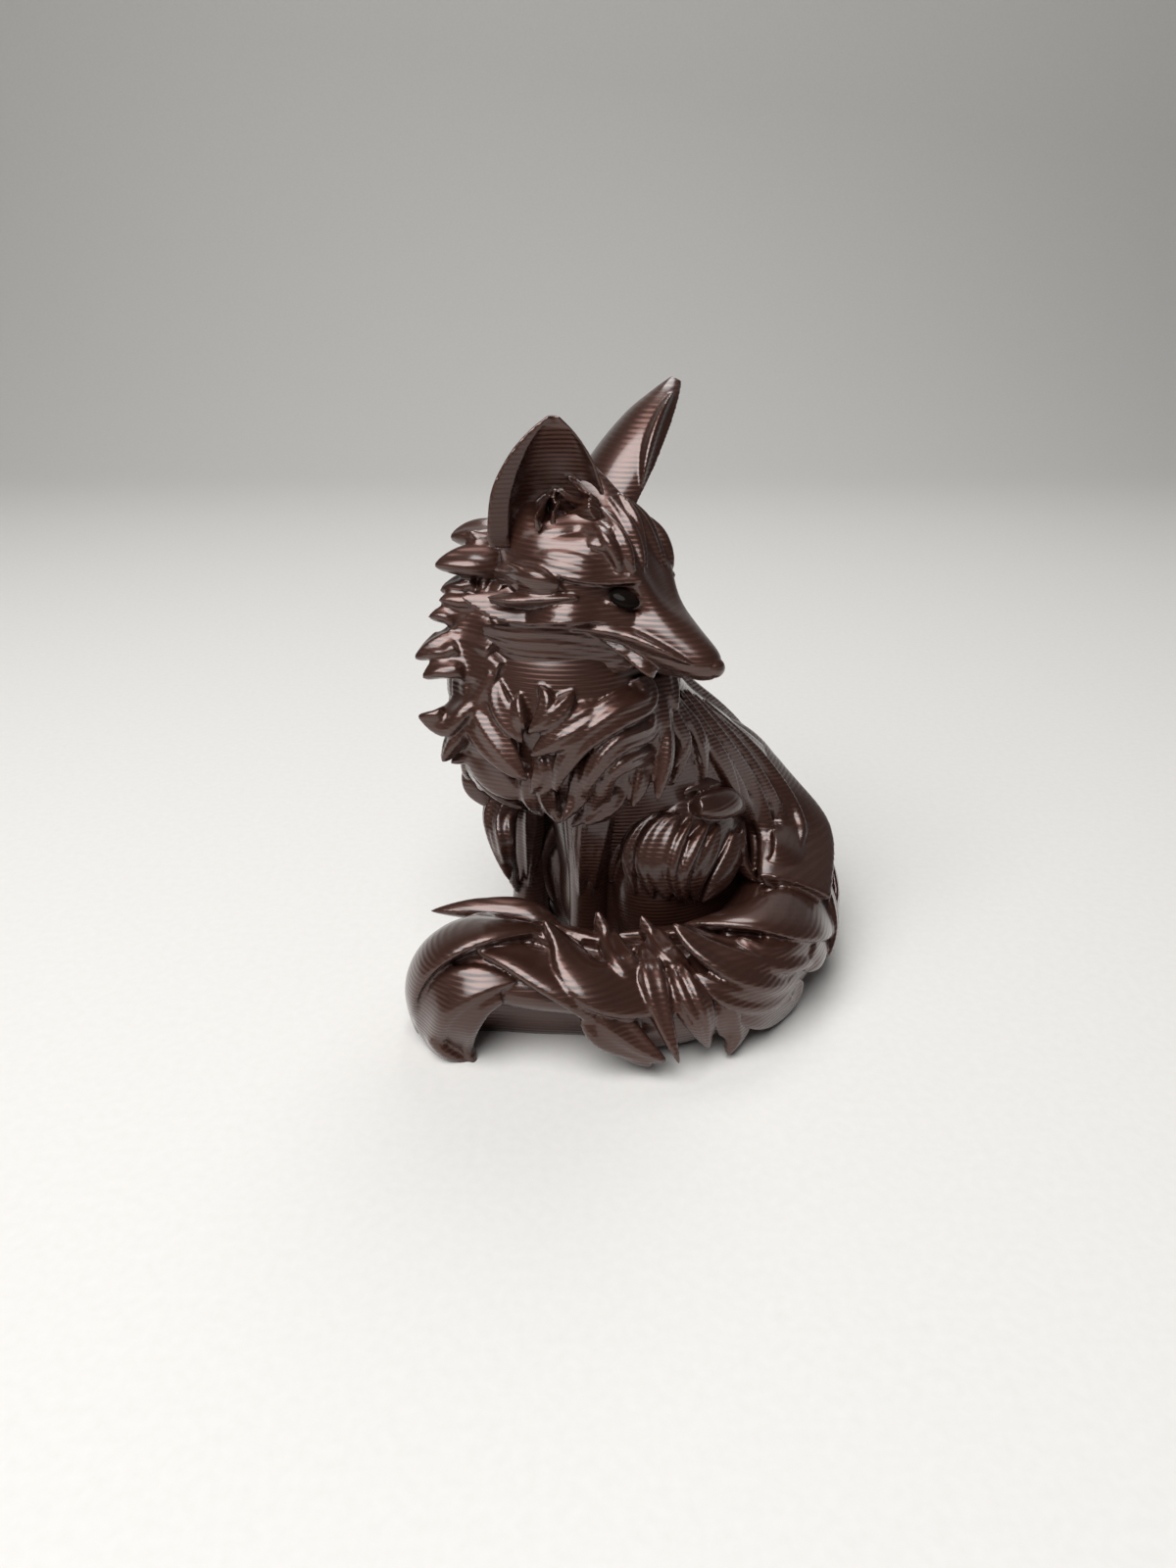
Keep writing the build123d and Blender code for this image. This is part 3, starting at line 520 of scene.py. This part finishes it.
# Ruff, the thick collar of fur round the neck and chest
# It is part of the print. S-shaped locks hang down the chest to a point between the forelegs, and
# spiked ones stand out behind the cheek.
RUFF = [
    (22.5, 19.0, -2.5, 3.0, 4.5),
    (25.0, 18.5, -2.5, 7.0, 9.0),
    (29.0, 17.6, -2.6, 11.0, 12.4),
    (36.0, 16.8, -2.6, 12.4, 13.2),
    (43.0, 16.8, -3.2, 11.4, 12.2),
    (49.0, 15.5, -4.4, 9.8, 10.2),
    (54.0, 14.0, -5.5, 7.2, 7.4),
    (57.0, 13.0, -6.0, 4.0, 4.0),
]
RUFF_VOXEL = 0.25  # keeps the piece under 200,000 triangles
# Rows of locks that the picture hides: their top, their length and the shift of their bearings
RUFF_ROWS = ((53.0, 9.0, 0.0), (47.0, 11.0, 11.0), (40.0, 12.0, 0.0), (33.0, 8.0, 11.0))
ruff = level_mass(RUFF, 1.0, [THROAT])
ruff_tree = carrier(level_mass(RUFF, 0.0, [THROAT]))
ruff_locks = laid(ruff_tree, [
    ([(520, 545), (500, 545), (480, 547), (461, 551)], (2.6, 1.8, 0, 0.4, 1)),
    ([(530, 580), (512, 566), (498, 555), (485, 547)], (1.2, 0.9, 10, 1.2, 1)),
    ([(515, 575), (490, 572), (468, 575), (446, 580)], (2.4, 1.6, 6, 0.6, 1)),
    ([(512, 600), (490, 596), (472, 598), (453, 605)], (2.2, 1.5, 8, 0.6, 1)),
    ([(505, 618), (488, 612), (470, 612), (453, 615)], (1.8, 1.3, 8, 0.8, 1)),
    ([(500, 650), (480, 636), (462, 628), (443, 631)], (1.9, 1.3, 8, 0.8, 1)),
    ([(500, 665), (475, 655), (452, 660), (429, 673)], (3.0, 1.6, 6, 0.8, 2)),
    ([(505, 690), (480, 676), (456, 680), (436, 692)], (2.4, 1.4, 6, 0.7, 1)),
    ([(496, 680), (480, 712), (460, 734), (435, 729)], (2.6, 1.5, 10, 1.2, 1)),
    ([(494, 705), (480, 730), (466, 755), (457, 777)], (2.0, 1.4, 12, 0.8, 1)),
    ([(502, 720), (494, 745), (482, 764), (466, 777)], (2.2, 1.4, -10, 0.8, 1)),
    ([(486, 655), (478, 700), (496, 740), (520, 772), (541, 794)], (2.6, 1.2, -24, 0.9, 2)),
    ([(502, 690), (508, 715), (522, 738), (536, 758)], (1.4, 1.0, -22, 0.4, 1, 1.8, 0.02, 1.0)),
    ([(526, 708), (528, 722), (532, 734), (538, 744)], (0.8, 0.9, 14, 0.5, 1, 1.8, 0.02, 0.8)),
    ([(548, 700), (556, 712), (554, 727), (541, 744)], (0.9, 0.9, 20, 0.7, 1, 1.8, 0.02, 0.8)),
    ([(586, 706), (574, 720), (558, 734), (541, 746)], (1.3, 1.0, 26, 0.8, 2, 1.8, 0.02, 0.8)),
    ([(622, 718), (598, 733), (572, 748), (543, 769)], (2.1, 1.0, 28, 1.0, 3, 1.8, 0.02, 0.8)),
    ([(655, 690), (658, 712), (626, 728), (592, 752), (574, 780), (568, 803)], (2.0, 1.2, 26, 1.3, 2)),
    ([(666, 716), (662, 742), (634, 752), (614, 768), (600, 790), (596, 808)], (1.7, 1.2, 24, 1.1, 2)),
    ([(676, 740), (668, 762), (640, 772), (622, 786), (612, 812)], (1.6, 1.1, 22, 0.9, 2)),
    ([(664, 700), (676, 735), (676, 775), (664, 818)], (1.8, 1.2, -24, 0.8, 2)),
    ([(654, 760), (656, 780), (650, 800), (640, 822)], (1.4, 1.1, 20, 0.8, 1)),
    ([(546, 770), (552, 782), (550, 794), (545, 804)], (1.0, 0.9, 16, 0.9, 1)),
    ([(548, 785), (554, 806), (562, 822), (573, 836)], (1.6, 1.0, 12, 0.6, 2)),
    ([(536, 790), (538, 806), (544, 818), (556, 828)], (1.4, 1.0, 12, 0.6, 2)),
    ([(562, 768), (566, 782), (562, 796), (556, 808)], (1.0, 0.9, 16, 0.9, 1)),
    ([(598, 775), (596, 792), (588, 812), (572, 834)], (1.5, 1.0, 20, 0.9, 2)),
    ([(618, 785), (614, 802), (602, 822), (580, 838)], (1.5, 1.0, 20, 0.9, 2)),
    ([(640, 785), (636, 805), (620, 824), (592, 838)], (1.7, 1.0, 20, 0.7, 2)),
    ([(478, 730), (490, 765), (512, 795), (538, 812)], (2.6, 1.0, -22, 0.6, 1)),
    ([(470, 755), (486, 788), (508, 808), (536, 822)], (1.3, 0.9, 20, 0.6, 1)),
    ([(466, 765), (480, 796), (500, 816), (530, 829)], (1.3, 0.9, 20, 0.6, 1)),
])
for row, (top, drop, start) in enumerate(RUFF_ROWS):
    for bearing in np.arange(-26.0, -250.0, -20.0) + start:
        sway = 8.0 * np.sin(3.1 * bearing + row)
        behind = np.clip((-bearing - 70.0) / 60.0, 0.0, 1.0)
        ruff_locks.append(leaf(*level_places(RUFF, [
            (top, bearing), (top - 0.4 * drop, bearing + sway), (top - 0.75 * drop, bearing - 0.4 * sway),
            (top - drop, bearing - sway)]), 2.4, 1.0 + 0.5 * behind, 8, 0.5 + 1.0 * behind, 2))
printed("fox_ruff", [ruff, *ruff_locks],
        "ruff", "ruff_front_locks", "ruff_left_locks", "ruff_right_locks", "nape_right_locks",
        voxel=RUFF_VOXEL)

# Head, turned over the left shoulder, with a long muzzle and a stern brow
# It is part of the print; cheek fur sweeps back in pointed locks and thin ridges run down the forehead.
HEAD_MIDDLE = body_point(15.2, 0.0, 53.0)
FACE_BEARING, FACE_DOWN, FACE_TILT = np.radians([322.0, 22.0, -8.0])
HEAD_VOXEL = 0.18  # finer than the body's, for the ears' thin rims and the ridges of the face
level_face = np.array([np.cos(FACE_BEARING), np.sin(FACE_BEARING), 0.0])
level_cheek = np.array([-np.sin(FACE_BEARING), np.cos(FACE_BEARING), 0.0])
MUZZLE = level_face * np.cos(FACE_DOWN) - UP * np.sin(FACE_DOWN)
level_crown = np.cross(MUZZLE, level_cheek)
CHEEK = level_cheek * np.cos(FACE_TILT) + level_crown * np.sin(FACE_TILT)
CROWN = level_crown * np.cos(FACE_TILT) - level_cheek * np.sin(FACE_TILT)


def head_point(ahead, to_left, rise):
    """A point in the head's own axes: along the muzzle, to the fox's left and up through the crown."""
    ahead, to_left, rise = (part[..., None] for part in np.broadcast_arrays(ahead, to_left, rise))
    return HEAD_MIDDLE + ahead * MUZZLE + to_left * CHEEK + rise * CROWN


def head_mass(table, bumps=(), rows=170, around=192):
    """Ellipses square to the muzzle, with rows of distance ahead, rise, half width and half height.

    A bump adds to the radius on both sides, by a bell curve in the distance ahead and in the bearing
    from the crown.
    """
    ahead, rise, half_width, half_height = through(table, rows).T[..., None]
    turn = np.linspace(0.0, 2 * np.pi, around, endpoint=False)
    bearing = np.degrees(np.arccos(np.cos(turn)))
    extra = np.zeros((rows, around))
    for place, angle, length, spread, height in bumps:
        extra += height * np.exp(-((ahead - place) / length) ** 2 - ((bearing - angle) / spread) ** 2)
    side = (half_width + extra) * np.sin(turn)
    return capped(head_point(ahead + 0 * turn, side, rise + (half_height + extra) * np.cos(turn)))


head = head_mass([
    (-9.0, 0.2, 3.6, 3.8),
    (-6.5, -0.2, 6.8, 7.0),
    (-1.5, -0.5, 8.8, 9.0),
    (3.5, -1.1, 8.2, 8.3),
    (8.0, -1.9, 5.9, 6.0),
    (11.5, -2.2, 4.4, 4.3),
    (15.5, -2.3, 3.4, 2.9),
    (19.0, -2.3, 2.3, 1.9),
    (20.4, -2.3, 1.1, 1.0),
], [
    (-2.6, 38.0, 3.8, 22.0, -5.0),
    (-5.5, 0.0, 4.0, 16.0, 1.8),
    (2.0, 106.0, 6.0, 17.0, 1.0),
    (8.8, 62.0, 2.2, 15.0, -1.5),
    (7.5, 36.0, 3.5, 13.0, 1.0),
    (6.0, 95.0, 4.0, 18.0, 0.7),
    (11.5, 0.0, 3.0, 30.0, -0.6),
    (15.0, 112.0, 4.0, 20.0, 0.4),
])
jaw = head_mass([
    (-1.0, -6.6, 3.8, 4.4),
    (4.0, -6.6, 3.6, 4.6),
    (9.0, -5.9, 2.8, 3.0),
    (13.5, -4.9, 2.1, 1.8),
    (17.4, -4.1, 1.2, 1.0),
], rows=80, around=96)
head_tree = carrier(head, jaw)


def shelf(tree, facing, path, *shape):
    """A lock that keeps one facing along its path over a mass, so that its edge stands out as a shelf."""
    spots, normals = seen(tree, path)
    return leaf(spots, unit(np.array(facing)) + 0 * normals, *shape)


BROW_FACING = (-0.14, -0.74, 0.66)
head_locks = [
    shelf(head_tree, BROW_FACING, path, *shape) for path, shape in (
        ([(530, 546), (562, 543), (592, 540), (614, 550), (628, 568)],
         (1.9, 0.5, 0, 0.2, 2, 1.8, 0.05, 0.2)),
        ([(527, 560), (560, 569), (592, 577), (622, 585), (656, 594)],
         (2.0, 0.5, 0, 0.3, 3, 1.8, 0.05, 0.2)),
        ([(652, 634), (612, 618), (575, 613), (540, 615), (510, 618), (470, 610)],
         (2.9, 0.5, 0, 0.3, 4, 2.2, 0.02, 0.3)),
    )
] + laid(head_tree, [
    ([(528, 578), (545, 588), (562, 597), (580, 606)], (0.9, 0.8, -10, 0.5, 1)),
    ([(618, 615), (640, 619), (654, 613)], (0.4, 0.5, 0, 0.0, 0, 1.0, 0.02, 0.2)),
    ([(572, 600), (544, 592), (514, 587), (484, 601)], (2.1, 1.1, 22, 0.8, 3, 2.2, 0.05, 0.4)),
    ([(590, 610), (556, 611), (522, 613), (490, 612)], (0.9, 1.3, 6, 1.2, 1, 1.8, 0.05, 0.2)),
    ([(706, 678), (672, 662), (640, 648), (606, 640), (566, 638)], (0.9, 0.8, 8, 0.0, 0, 1.2, 0.02, 0.1)),
    ([(700, 694), (668, 680), (642, 664), (614, 652)], (0.6, 0.5, 0, 0.0, 0, 1.2, 0.02, 0.1)),
    ([(600, 530), (616, 548), (628, 568), (634, 590)], (0.85, 1.4, 0, 0.0, 0, 0.8, 0.02, 0.1)),
    ([(612, 518), (630, 543), (641, 566), (647, 590)], (0.85, 1.4, 0, 0.0, 0, 0.8, 0.02, 0.1)),
    ([(622, 508), (640, 534), (650, 558), (657, 584)], (0.85, 1.3, 0, 0.0, 0, 0.8, 0.02, 0.1)),
    ([(632, 504), (646, 528), (653, 552), (660, 580)], (0.8, 1.1, 0, 0.0, 0, 0.8, 0.02, 0.1)),
])
jaw_tree = carrier(head, jaw, ruff)
head_locks.append(leaf(*seen(jaw_tree, [(662, 676), (620, 668), (570, 663), (530, 660), (500, 650)]),
                       3.0, 0.6, -36, 0.9, 5, 3.0, 0.05, -0.9, 0.12))
NOSE_AHEAD, NOSE_RISE = 20.0, -2.0
NOSE_LENGTH, NOSE_WIDTH, NOSE_HEIGHT = 1.1, 1.25, 1.1
nose_turn = np.linspace(0.0, 2 * np.pi, 32, endpoint=False)
nose_rows = np.linspace(-0.96, 0.96, 20)[:, None] * np.pi / 2
nose = capped(head_point(NOSE_AHEAD + NOSE_LENGTH * np.sin(nose_rows) + 0 * nose_turn,
                         NOSE_WIDTH * np.cos(nose_rows) * np.cos(nose_turn),
                         NOSE_RISE + NOSE_HEIGHT * np.cos(nose_rows) * np.sin(nose_turn)))
head_locks += [mirrored(lock, HEAD_MIDDLE, CHEEK) for lock in head_locks]
printed("fox_head", [head, jaw, nose, *head_locks],
        "head", "lower_jaw", "nose", "brow_right", "brow_left", "forehead_lock",
        "cheek_tuft_right", "cheek_tuft_left", voxel=HEAD_VOXEL)

# Ears, two tall cups of print with a thick rounded wall
# The right one opens towards the viewer and holds a tuft of hair; the left one shows its smooth back.
EAR_WALL = 1.8
EAR_RIM, EAR_CURL = 0.22, 0.14
EAR = [
    (-0.12, 6.0, 5.4),
    (0.0, 6.4, 5.8),
    (0.35, 6.2, 5.4),
    (0.65, 4.6, 4.2),
    (0.86, 2.6, 2.6),
    (1.0, 0.6, 1.3),
]


def ear(base, tip, bearing, rows=90, around=96):
    """A cup: crescents from base to tip, an outer arc and back along an inner one, open towards a bearing.

    The inner arc is narrower by twice the rim and lies to one side by the curl, as shares of the half width.
    """
    share, half_width, depth = through(EAR, rows).T[..., None]
    base, tip = head_point(*base), head_point(*tip)
    axis = unit(tip - base)
    opening = unit(head_point(np.cos(np.radians(bearing)), np.sin(np.radians(bearing)), 0.0) - HEAD_MIDDLE)
    across = unit(np.cross(opening, axis))
    facing = np.cross(axis, across)
    turn = np.linspace(0.0, 2 * np.pi, around, endpoint=False)
    outer = np.sin(turn) >= 0
    wide = half_width * np.where(outer, np.cos(turn), (1 - EAR_RIM) * np.cos(turn) - EAR_CURL)
    deep = -np.where(outer, depth, np.maximum(depth - EAR_WALL, 0.3)) * np.abs(np.sin(turn))
    middle = base + share[..., None] * (tip - base)
    return capped(middle + wide[..., None] * across + deep[..., None] * facing)


ear_right = ear((-2.2, -5.7, 1.6), (-6.4, -6.4, 13.4), -42.0)
ear_right_tree = carrier(ear_right, head)
ear_right_hair = laid(ear_right_tree, [
    ([(550, 544), (551, 528), (553, 512), (558, 500)], (0.5, 0.6, 0, 0.5, 0)),
    ([(564, 540), (564, 524), (564, 508), (566, 498)], (0.5, 0.6, 0, 0.6, 0)),
    ([(612, 524), (600, 519), (584, 510), (566, 499)], (0.7, 0.8, 0, 0.7, 0)),
    ([(612, 530), (596, 532), (578, 532), (560, 538)], (0.9, 0.8, 0, 0.5, 0)),
    ([(612, 516), (602, 508), (590, 496), (578, 485)], (0.5, 0.6, 0, 0.3, 0)),
])
printed("fox_ear_right", [ear_right, *ear_right_hair], "ear_right", "ear_tuft_right", voxel=HEAD_VOXEL)
ear_left = ear((-1.8, 5.2, 2.5), (-5.4, 13.8, 18.7), 48.0)
ear_left_tree = carrier(ear_left)
ear_left_rim = laid(ear_left_tree, [
    ([(686, 402), (674, 424), (664, 450), (658, 474), (654, 498)], (0.8, 0.6, 0, 0.0, 0, 1.2, 0.05, 0.1)),
])
printed("fox_ear_left", [ear_left, *ear_left_rim], "ear_left", "ear_tuft_left", voxel=HEAD_VOXEL)

# Eyes, glossy black beads set into the face under the brows
# Each is a smooth almond of cast black resin, narrower than it is long, with a faint glint.
BEAD_PATCH = 0.8  # the width of the cloudy patches in the resin
bead = bpy.data.materials.new("black_resin")
bead.use_nodes = True
bead_shader = bead.node_tree.nodes["Principled BSDF"]
bead_shader.inputs["Roughness"].default_value = 0.08
bead_shader.inputs["Specular IOR Level"].default_value = 0.05
bead_place = node(bead.node_tree, "ShaderNodeTexCoord")
bead_cloud = node(bead.node_tree, "ShaderNodeTexNoise",
                  {"Vector": bead_place.outputs["Object"], "Scale": 1 / (BEAD_PATCH * MM)})
bead_tone = node(bead.node_tree, "ShaderNodeMix", data_type="RGBA", inputs={
    0: bead_cloud.outputs["Fac"], 6: linear("#0b0807"), 7: linear("#17100e")})
bead.node_tree.links.new(bead_tone.outputs[2], bead_shader.inputs["Base Color"])
EYE_LENGTH, EYE_HEIGHT, EYE_DEPTH, EYE_SINK = 1.8, 0.85, 1.3, 0.8
eye_spot, eye_normal = seen(head_tree, [(639, 607)])
eye_out = unit(eye_normal[0])
eye_along = unit(MUZZLE - eye_out * (MUZZLE @ eye_out))
eye_up = np.cross(eye_out, eye_along)
eye_rows = np.linspace(-0.98, 0.98, 32)[:, None] * np.pi / 2
eye_turn = np.linspace(0.0, 2 * np.pi, 48, endpoint=False)
eye_right = capped(
    eye_spot[0] - eye_out * EYE_SINK
    + (EYE_DEPTH * np.sin(eye_rows) + 0 * eye_turn)[..., None] * eye_out
    + (EYE_LENGTH * np.cos(eye_rows) * np.cos(eye_turn))[..., None] * eye_along
    + (EYE_HEIGHT * np.cos(eye_rows) * np.sin(eye_turn))[..., None] * eye_up)
for name, grid in (("right", eye_right), ("left", mirrored(eye_right, HEAD_MIDDLE, CHEEK)[:, ::-1])):
    vertices, quads = joined([grid])
    eye_mesh = bpy.data.meshes.new("fox_eye_" + name)
    eye_mesh.from_pydata((vertices * MM).tolist(), [], quads.tolist())
    eye_mesh.shade_smooth()
    eye_mesh.materials.append(bead)
    eye = bpy.data.objects.new("fox_eye_" + name, eye_mesh)
    bpy.context.scene.collection.objects.link(eye)
    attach(eye, "root")
    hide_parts("eye_" + name)

# Tail, printed with the body and wrapped round the left side to the front of the feet
# It is a thick brush of overlapping pointed leaves; its tip rolls over like a wave, with a hollow under it.
TAIL = [
    (-13.0, 0.5, 6.0, 16.0),
    (-11.5, 8.5, 7.0, 17.5),
    (-6.0, 14.8, 7.0, 15.0),
    (2.0, 19.2, 7.2, 13.0),
    (12.0, 20.4, 7.2, 12.0),
    (21.5, 17.0, 7.2, 11.5),
    (29.5, 10.5, 7.2, 12.8),
    (35.5, 3.5, 6.6, 14.0),
    (39.0, -2.0, 3.6, 10.5),
    (40.2, -4.0, 1.0, 6.0),
]
TAIL_SINK = 0.2
TAIL_STEPS = 40  # rings from one station to the next
HOLLOW_STATION, HOLLOW_LENGTH, HOLLOW_TURN, HOLLOW_SPREAD = 6.2, 0.85, -0.62, 0.8


def tail_mass(first=0, last=9, inset=0.0, hollow=0.0, around=160):
    """Upright ellipses along the tail between two of its stations, sunk a little into the floor.

    The hollow under the tip draws the outer side in, by flat bell curves along the tail and round it.
    """
    ahead, to_left, half_width, height = through(TAIL, TAIL_STEPS * (len(TAIL) - 1) + 1).T
    keep = slice(TAIL_STEPS * first, TAIL_STEPS * last + 1)
    place = np.linspace(0.0, len(TAIL) - 1.0, len(ahead))[keep, None]
    middle = body_point(ahead, to_left, 0.0)
    outer = np.cross(UP, unit(np.gradient(middle, axis=0)))[keep]
    half_height = (height / (2 - TAIL_SINK))[keep, None]
    turn = np.linspace(-np.pi, np.pi, around, endpoint=False)
    away = ((place - HOLLOW_STATION) / HOLLOW_LENGTH) ** 4 + ((turn - HOLLOW_TURN) / HOLLOW_SPREAD) ** 4
    drawn_in = hollow * np.exp(-away)
    wide = (half_width[keep, None] - inset) * np.cos(turn) * (1 - drawn_in)
    high = height[keep, None] - half_height + (half_height - inset) * np.sin(turn) * (1 - drawn_in)
    return capped(middle[keep, None] + wide[..., None] * outer[:, None] + high[..., None] * UP)


def tail_places(places):
    """Points and outward directions on the tail, at stations along it and angles up from its outer side."""
    station, turn = np.array(places, float).T
    columns = through(TAIL, TAIL_STEPS * (len(TAIL) - 1) + 1).T
    steps = np.linspace(0.0, len(TAIL) - 1.0, columns.shape[1])
    ahead, to_left, half_width, height = (np.interp(station, steps, column) for column in columns)
    line = body_point(columns[0], columns[1], 0.0)
    across = np.cross(UP, unit(np.gradient(line, axis=0)))
    outer = unit(np.stack([np.interp(station, steps, column) for column in across.T], axis=-1))
    high = height / (2 - TAIL_SINK)
    out = np.cos(turn)[:, None] * outer + np.sin(turn)[:, None] * UP
    spots = body_point(ahead, to_left, 0.0) + (half_width * np.cos(turn))[:, None] * outer
    return spots + (height - high + high * np.sin(turn))[:, None] * UP, out


def swept(first, turn, lean):
    """Places of a lock that runs from one station of the tail to 1.3 further on, and leans as it goes."""
    return tail_places([(first, turn + 0.1 * lean), (first + 0.5, turn),
                        (first + 0.9, turn - 0.2 * lean), (first + 1.3, turn - 0.1 * lean)])


tail_tree = carrier(tail_mass())
rump_tree = carrier(level_mass(TORSO), tail_mass())
hip_flap = leaf(*seen(rump_tree, [(748, 742), (784, 788), (810, 840), (810, 908)]),
                5.3, 0.9, 0, 0.5, 0, 2.8, 0.3, 2.0, 0.34)
hip_tree = carrier(level_mass(TORSO), tail_mass(), hip_flap)
HIP_FACING, HIP_END_FACING = (-0.1, -0.76, 0.64), (0.2, -0.8, 0.55)
hip_end = shelf(hip_tree, HIP_END_FACING, [(786, 800), (804, 840), (802, 876), (770, 900)],
                2.6, 0.5, 0, 0.4, 0, 2.4, 0.1, 0.3)
hip_locks = [hip_flap, hip_end] + [
    shelf(hip_tree, HIP_FACING, path, half_width, 0.6, 0, 0.3, 0, 2.2, 0.05, 0.2)
    for path, half_width in (
        ([(694, 704), (722, 752), (752, 806), (770, 852), (767, 902)], 1.2),
        ([(700, 704), (736, 758), (766, 808), (781, 852), (774, 898)], 1.5),
        ([(708, 708), (752, 762), (780, 806), (796, 838), (800, 866)], 1.2),
        ([(718, 714), (766, 764), (798, 808), (816, 842), (817, 866)], 1.2),
        ([(690, 712), (706, 738), (714, 760), (714, 784)], 1.0),
        ([(682, 716), (694, 742), (696, 764), (688, 786)], 1.0),
    )
]
tail_root_locks = laid(tail_tree, [
    ([(848, 922), (812, 934), (760, 940), (697, 952)], (4.4, 1.3, 14, 1.0, 0)),
    ([(838, 880), (846, 920), (846, 950), (838, 976)], (1.3, 1.2, 0, 0.8, 1)),
    ([(846, 945), (830, 970), (815, 990)], (2.4, 1.2, 0, 0.8, 1)),
])
tail_middle_locks = laid(tail_tree, [
    ([(842, 955), (810, 968), (780, 975), (752, 960)], (2.8, 1.5, 14, 0.8, 2)),
    ([(815, 985), (770, 985), (720, 972), (684, 949)], (3.6, 1.6, 14, 1.2, 2)),
    ([(812, 995), (780, 1010), (738, 1010), (705, 995)], (2.6, 1.5, 14, 0.8, 2)),
    ([(818, 1000), (800, 1025), (770, 1034), (735, 1028)], (2.2, 1.3, 10, 0.8, 1)),
    ([(770, 985), (750, 978), (730, 972), (705, 968)], (1.2, 1.2, 0, 1.0, 1)),
])
for turn in (1.2, 0.75, 0.3, -0.15, -0.6):
    for start in (0.1, 0.9):
        first = start + 0.3 * np.sin(5.0 * turn)
        tail_root_locks.append(leaf(*swept(first, turn, 1), 2.3, 0.8, -8, 0.3, 2, 2.4))
printed("fox_tail_root", [tail_mass(0, 4, inset=0.6), *hip_locks, *tail_root_locks, *tail_middle_locks],
        "hip_left_lock", "tail_root", "tail_root_locks", "tail_middle", "tail_middle_locks")
tail_front_locks = laid(tail_tree, [
    ([(720, 1000), (742, 1025), (748, 1050), (740, 1073)], (2.6, 1.4, 0, 0.6, 2)),
    ([(690, 985), (700, 1010), (712, 1038), (720, 1063)], (2.4, 1.5, 8, 0.9, 3)),
    ([(657, 962), (664, 995), (674, 1035), (692, 1086)], (1.6, 1.7, 0, 0.8, 1)),
    ([(700, 985), (682, 975), (668, 960), (655, 944)], (1.5, 1.3, 0, 1.2, 1)),
    ([(652, 1000), (636, 985), (620, 962), (608, 937)], (1.8, 1.6, 0, 1.0, 1)),
    ([(668, 1018), (630, 1012), (600, 1000), (575, 970), (553, 943)], (3.4, 1.3, 18, 0.8, 0)),
    ([(606, 1024), (618, 1045), (645, 1062), (680, 1080)], (2.6, 1.4, -10, 0.6, 2)),
    ([(620, 1050), (640, 1068), (665, 1085)], (1.6, 1.2, 0, 0.4, 1)),
])
tail_tip_locks = laid(tail_tree, [
    ([(588, 950), (545, 938), (492, 931), (437, 934)], (2.0, 1.3, 8, 1.2, 1)),
    ([(590, 965), (542, 950), (490, 950), (446, 972), (425, 1008), (430, 1052)], (4.2, 1.3, 16, 0.6, 0)),
    ([(624, 1034), (592, 1008), (556, 990), (520, 977), (486, 972)], (3.4, 1.3, 22, 0.3, 1)),
    ([(524, 1000), (482, 1004), (449, 1020), (440, 1048), (456, 1072), (486, 1083)],
     (3.2, 1.4, 14, 0.5, 1, 2.6, 0.02, 0.7)),
    ([(508, 1012), (484, 1024), (471, 1045), (472, 1066), (486, 1083)], (2.2, 1.1, -10, 0.4, 1, 2.6)),
])
for turn in (2.0, 2.45, 2.9):
    for start in (4.1, 5.2, 6.3):
        first = start + 0.25 * np.sin(5.0 * turn)
        tail_front_locks.append(leaf(*swept(first, turn, -1), 2.2, 1.1, 10, 0.7, 2, 2.6))
printed("fox_tail_tip", [tail_mass(4, 9, inset=0.8, hollow=0.9), *tail_front_locks, *tail_tip_locks],
        "tail_front", "tail_front_locks", "tail_tip", "tail_tip_locks", "tail_hook")

size = {"cad": [list(corner) for corner in cad_box], "visual": [list(corner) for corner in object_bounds()]}
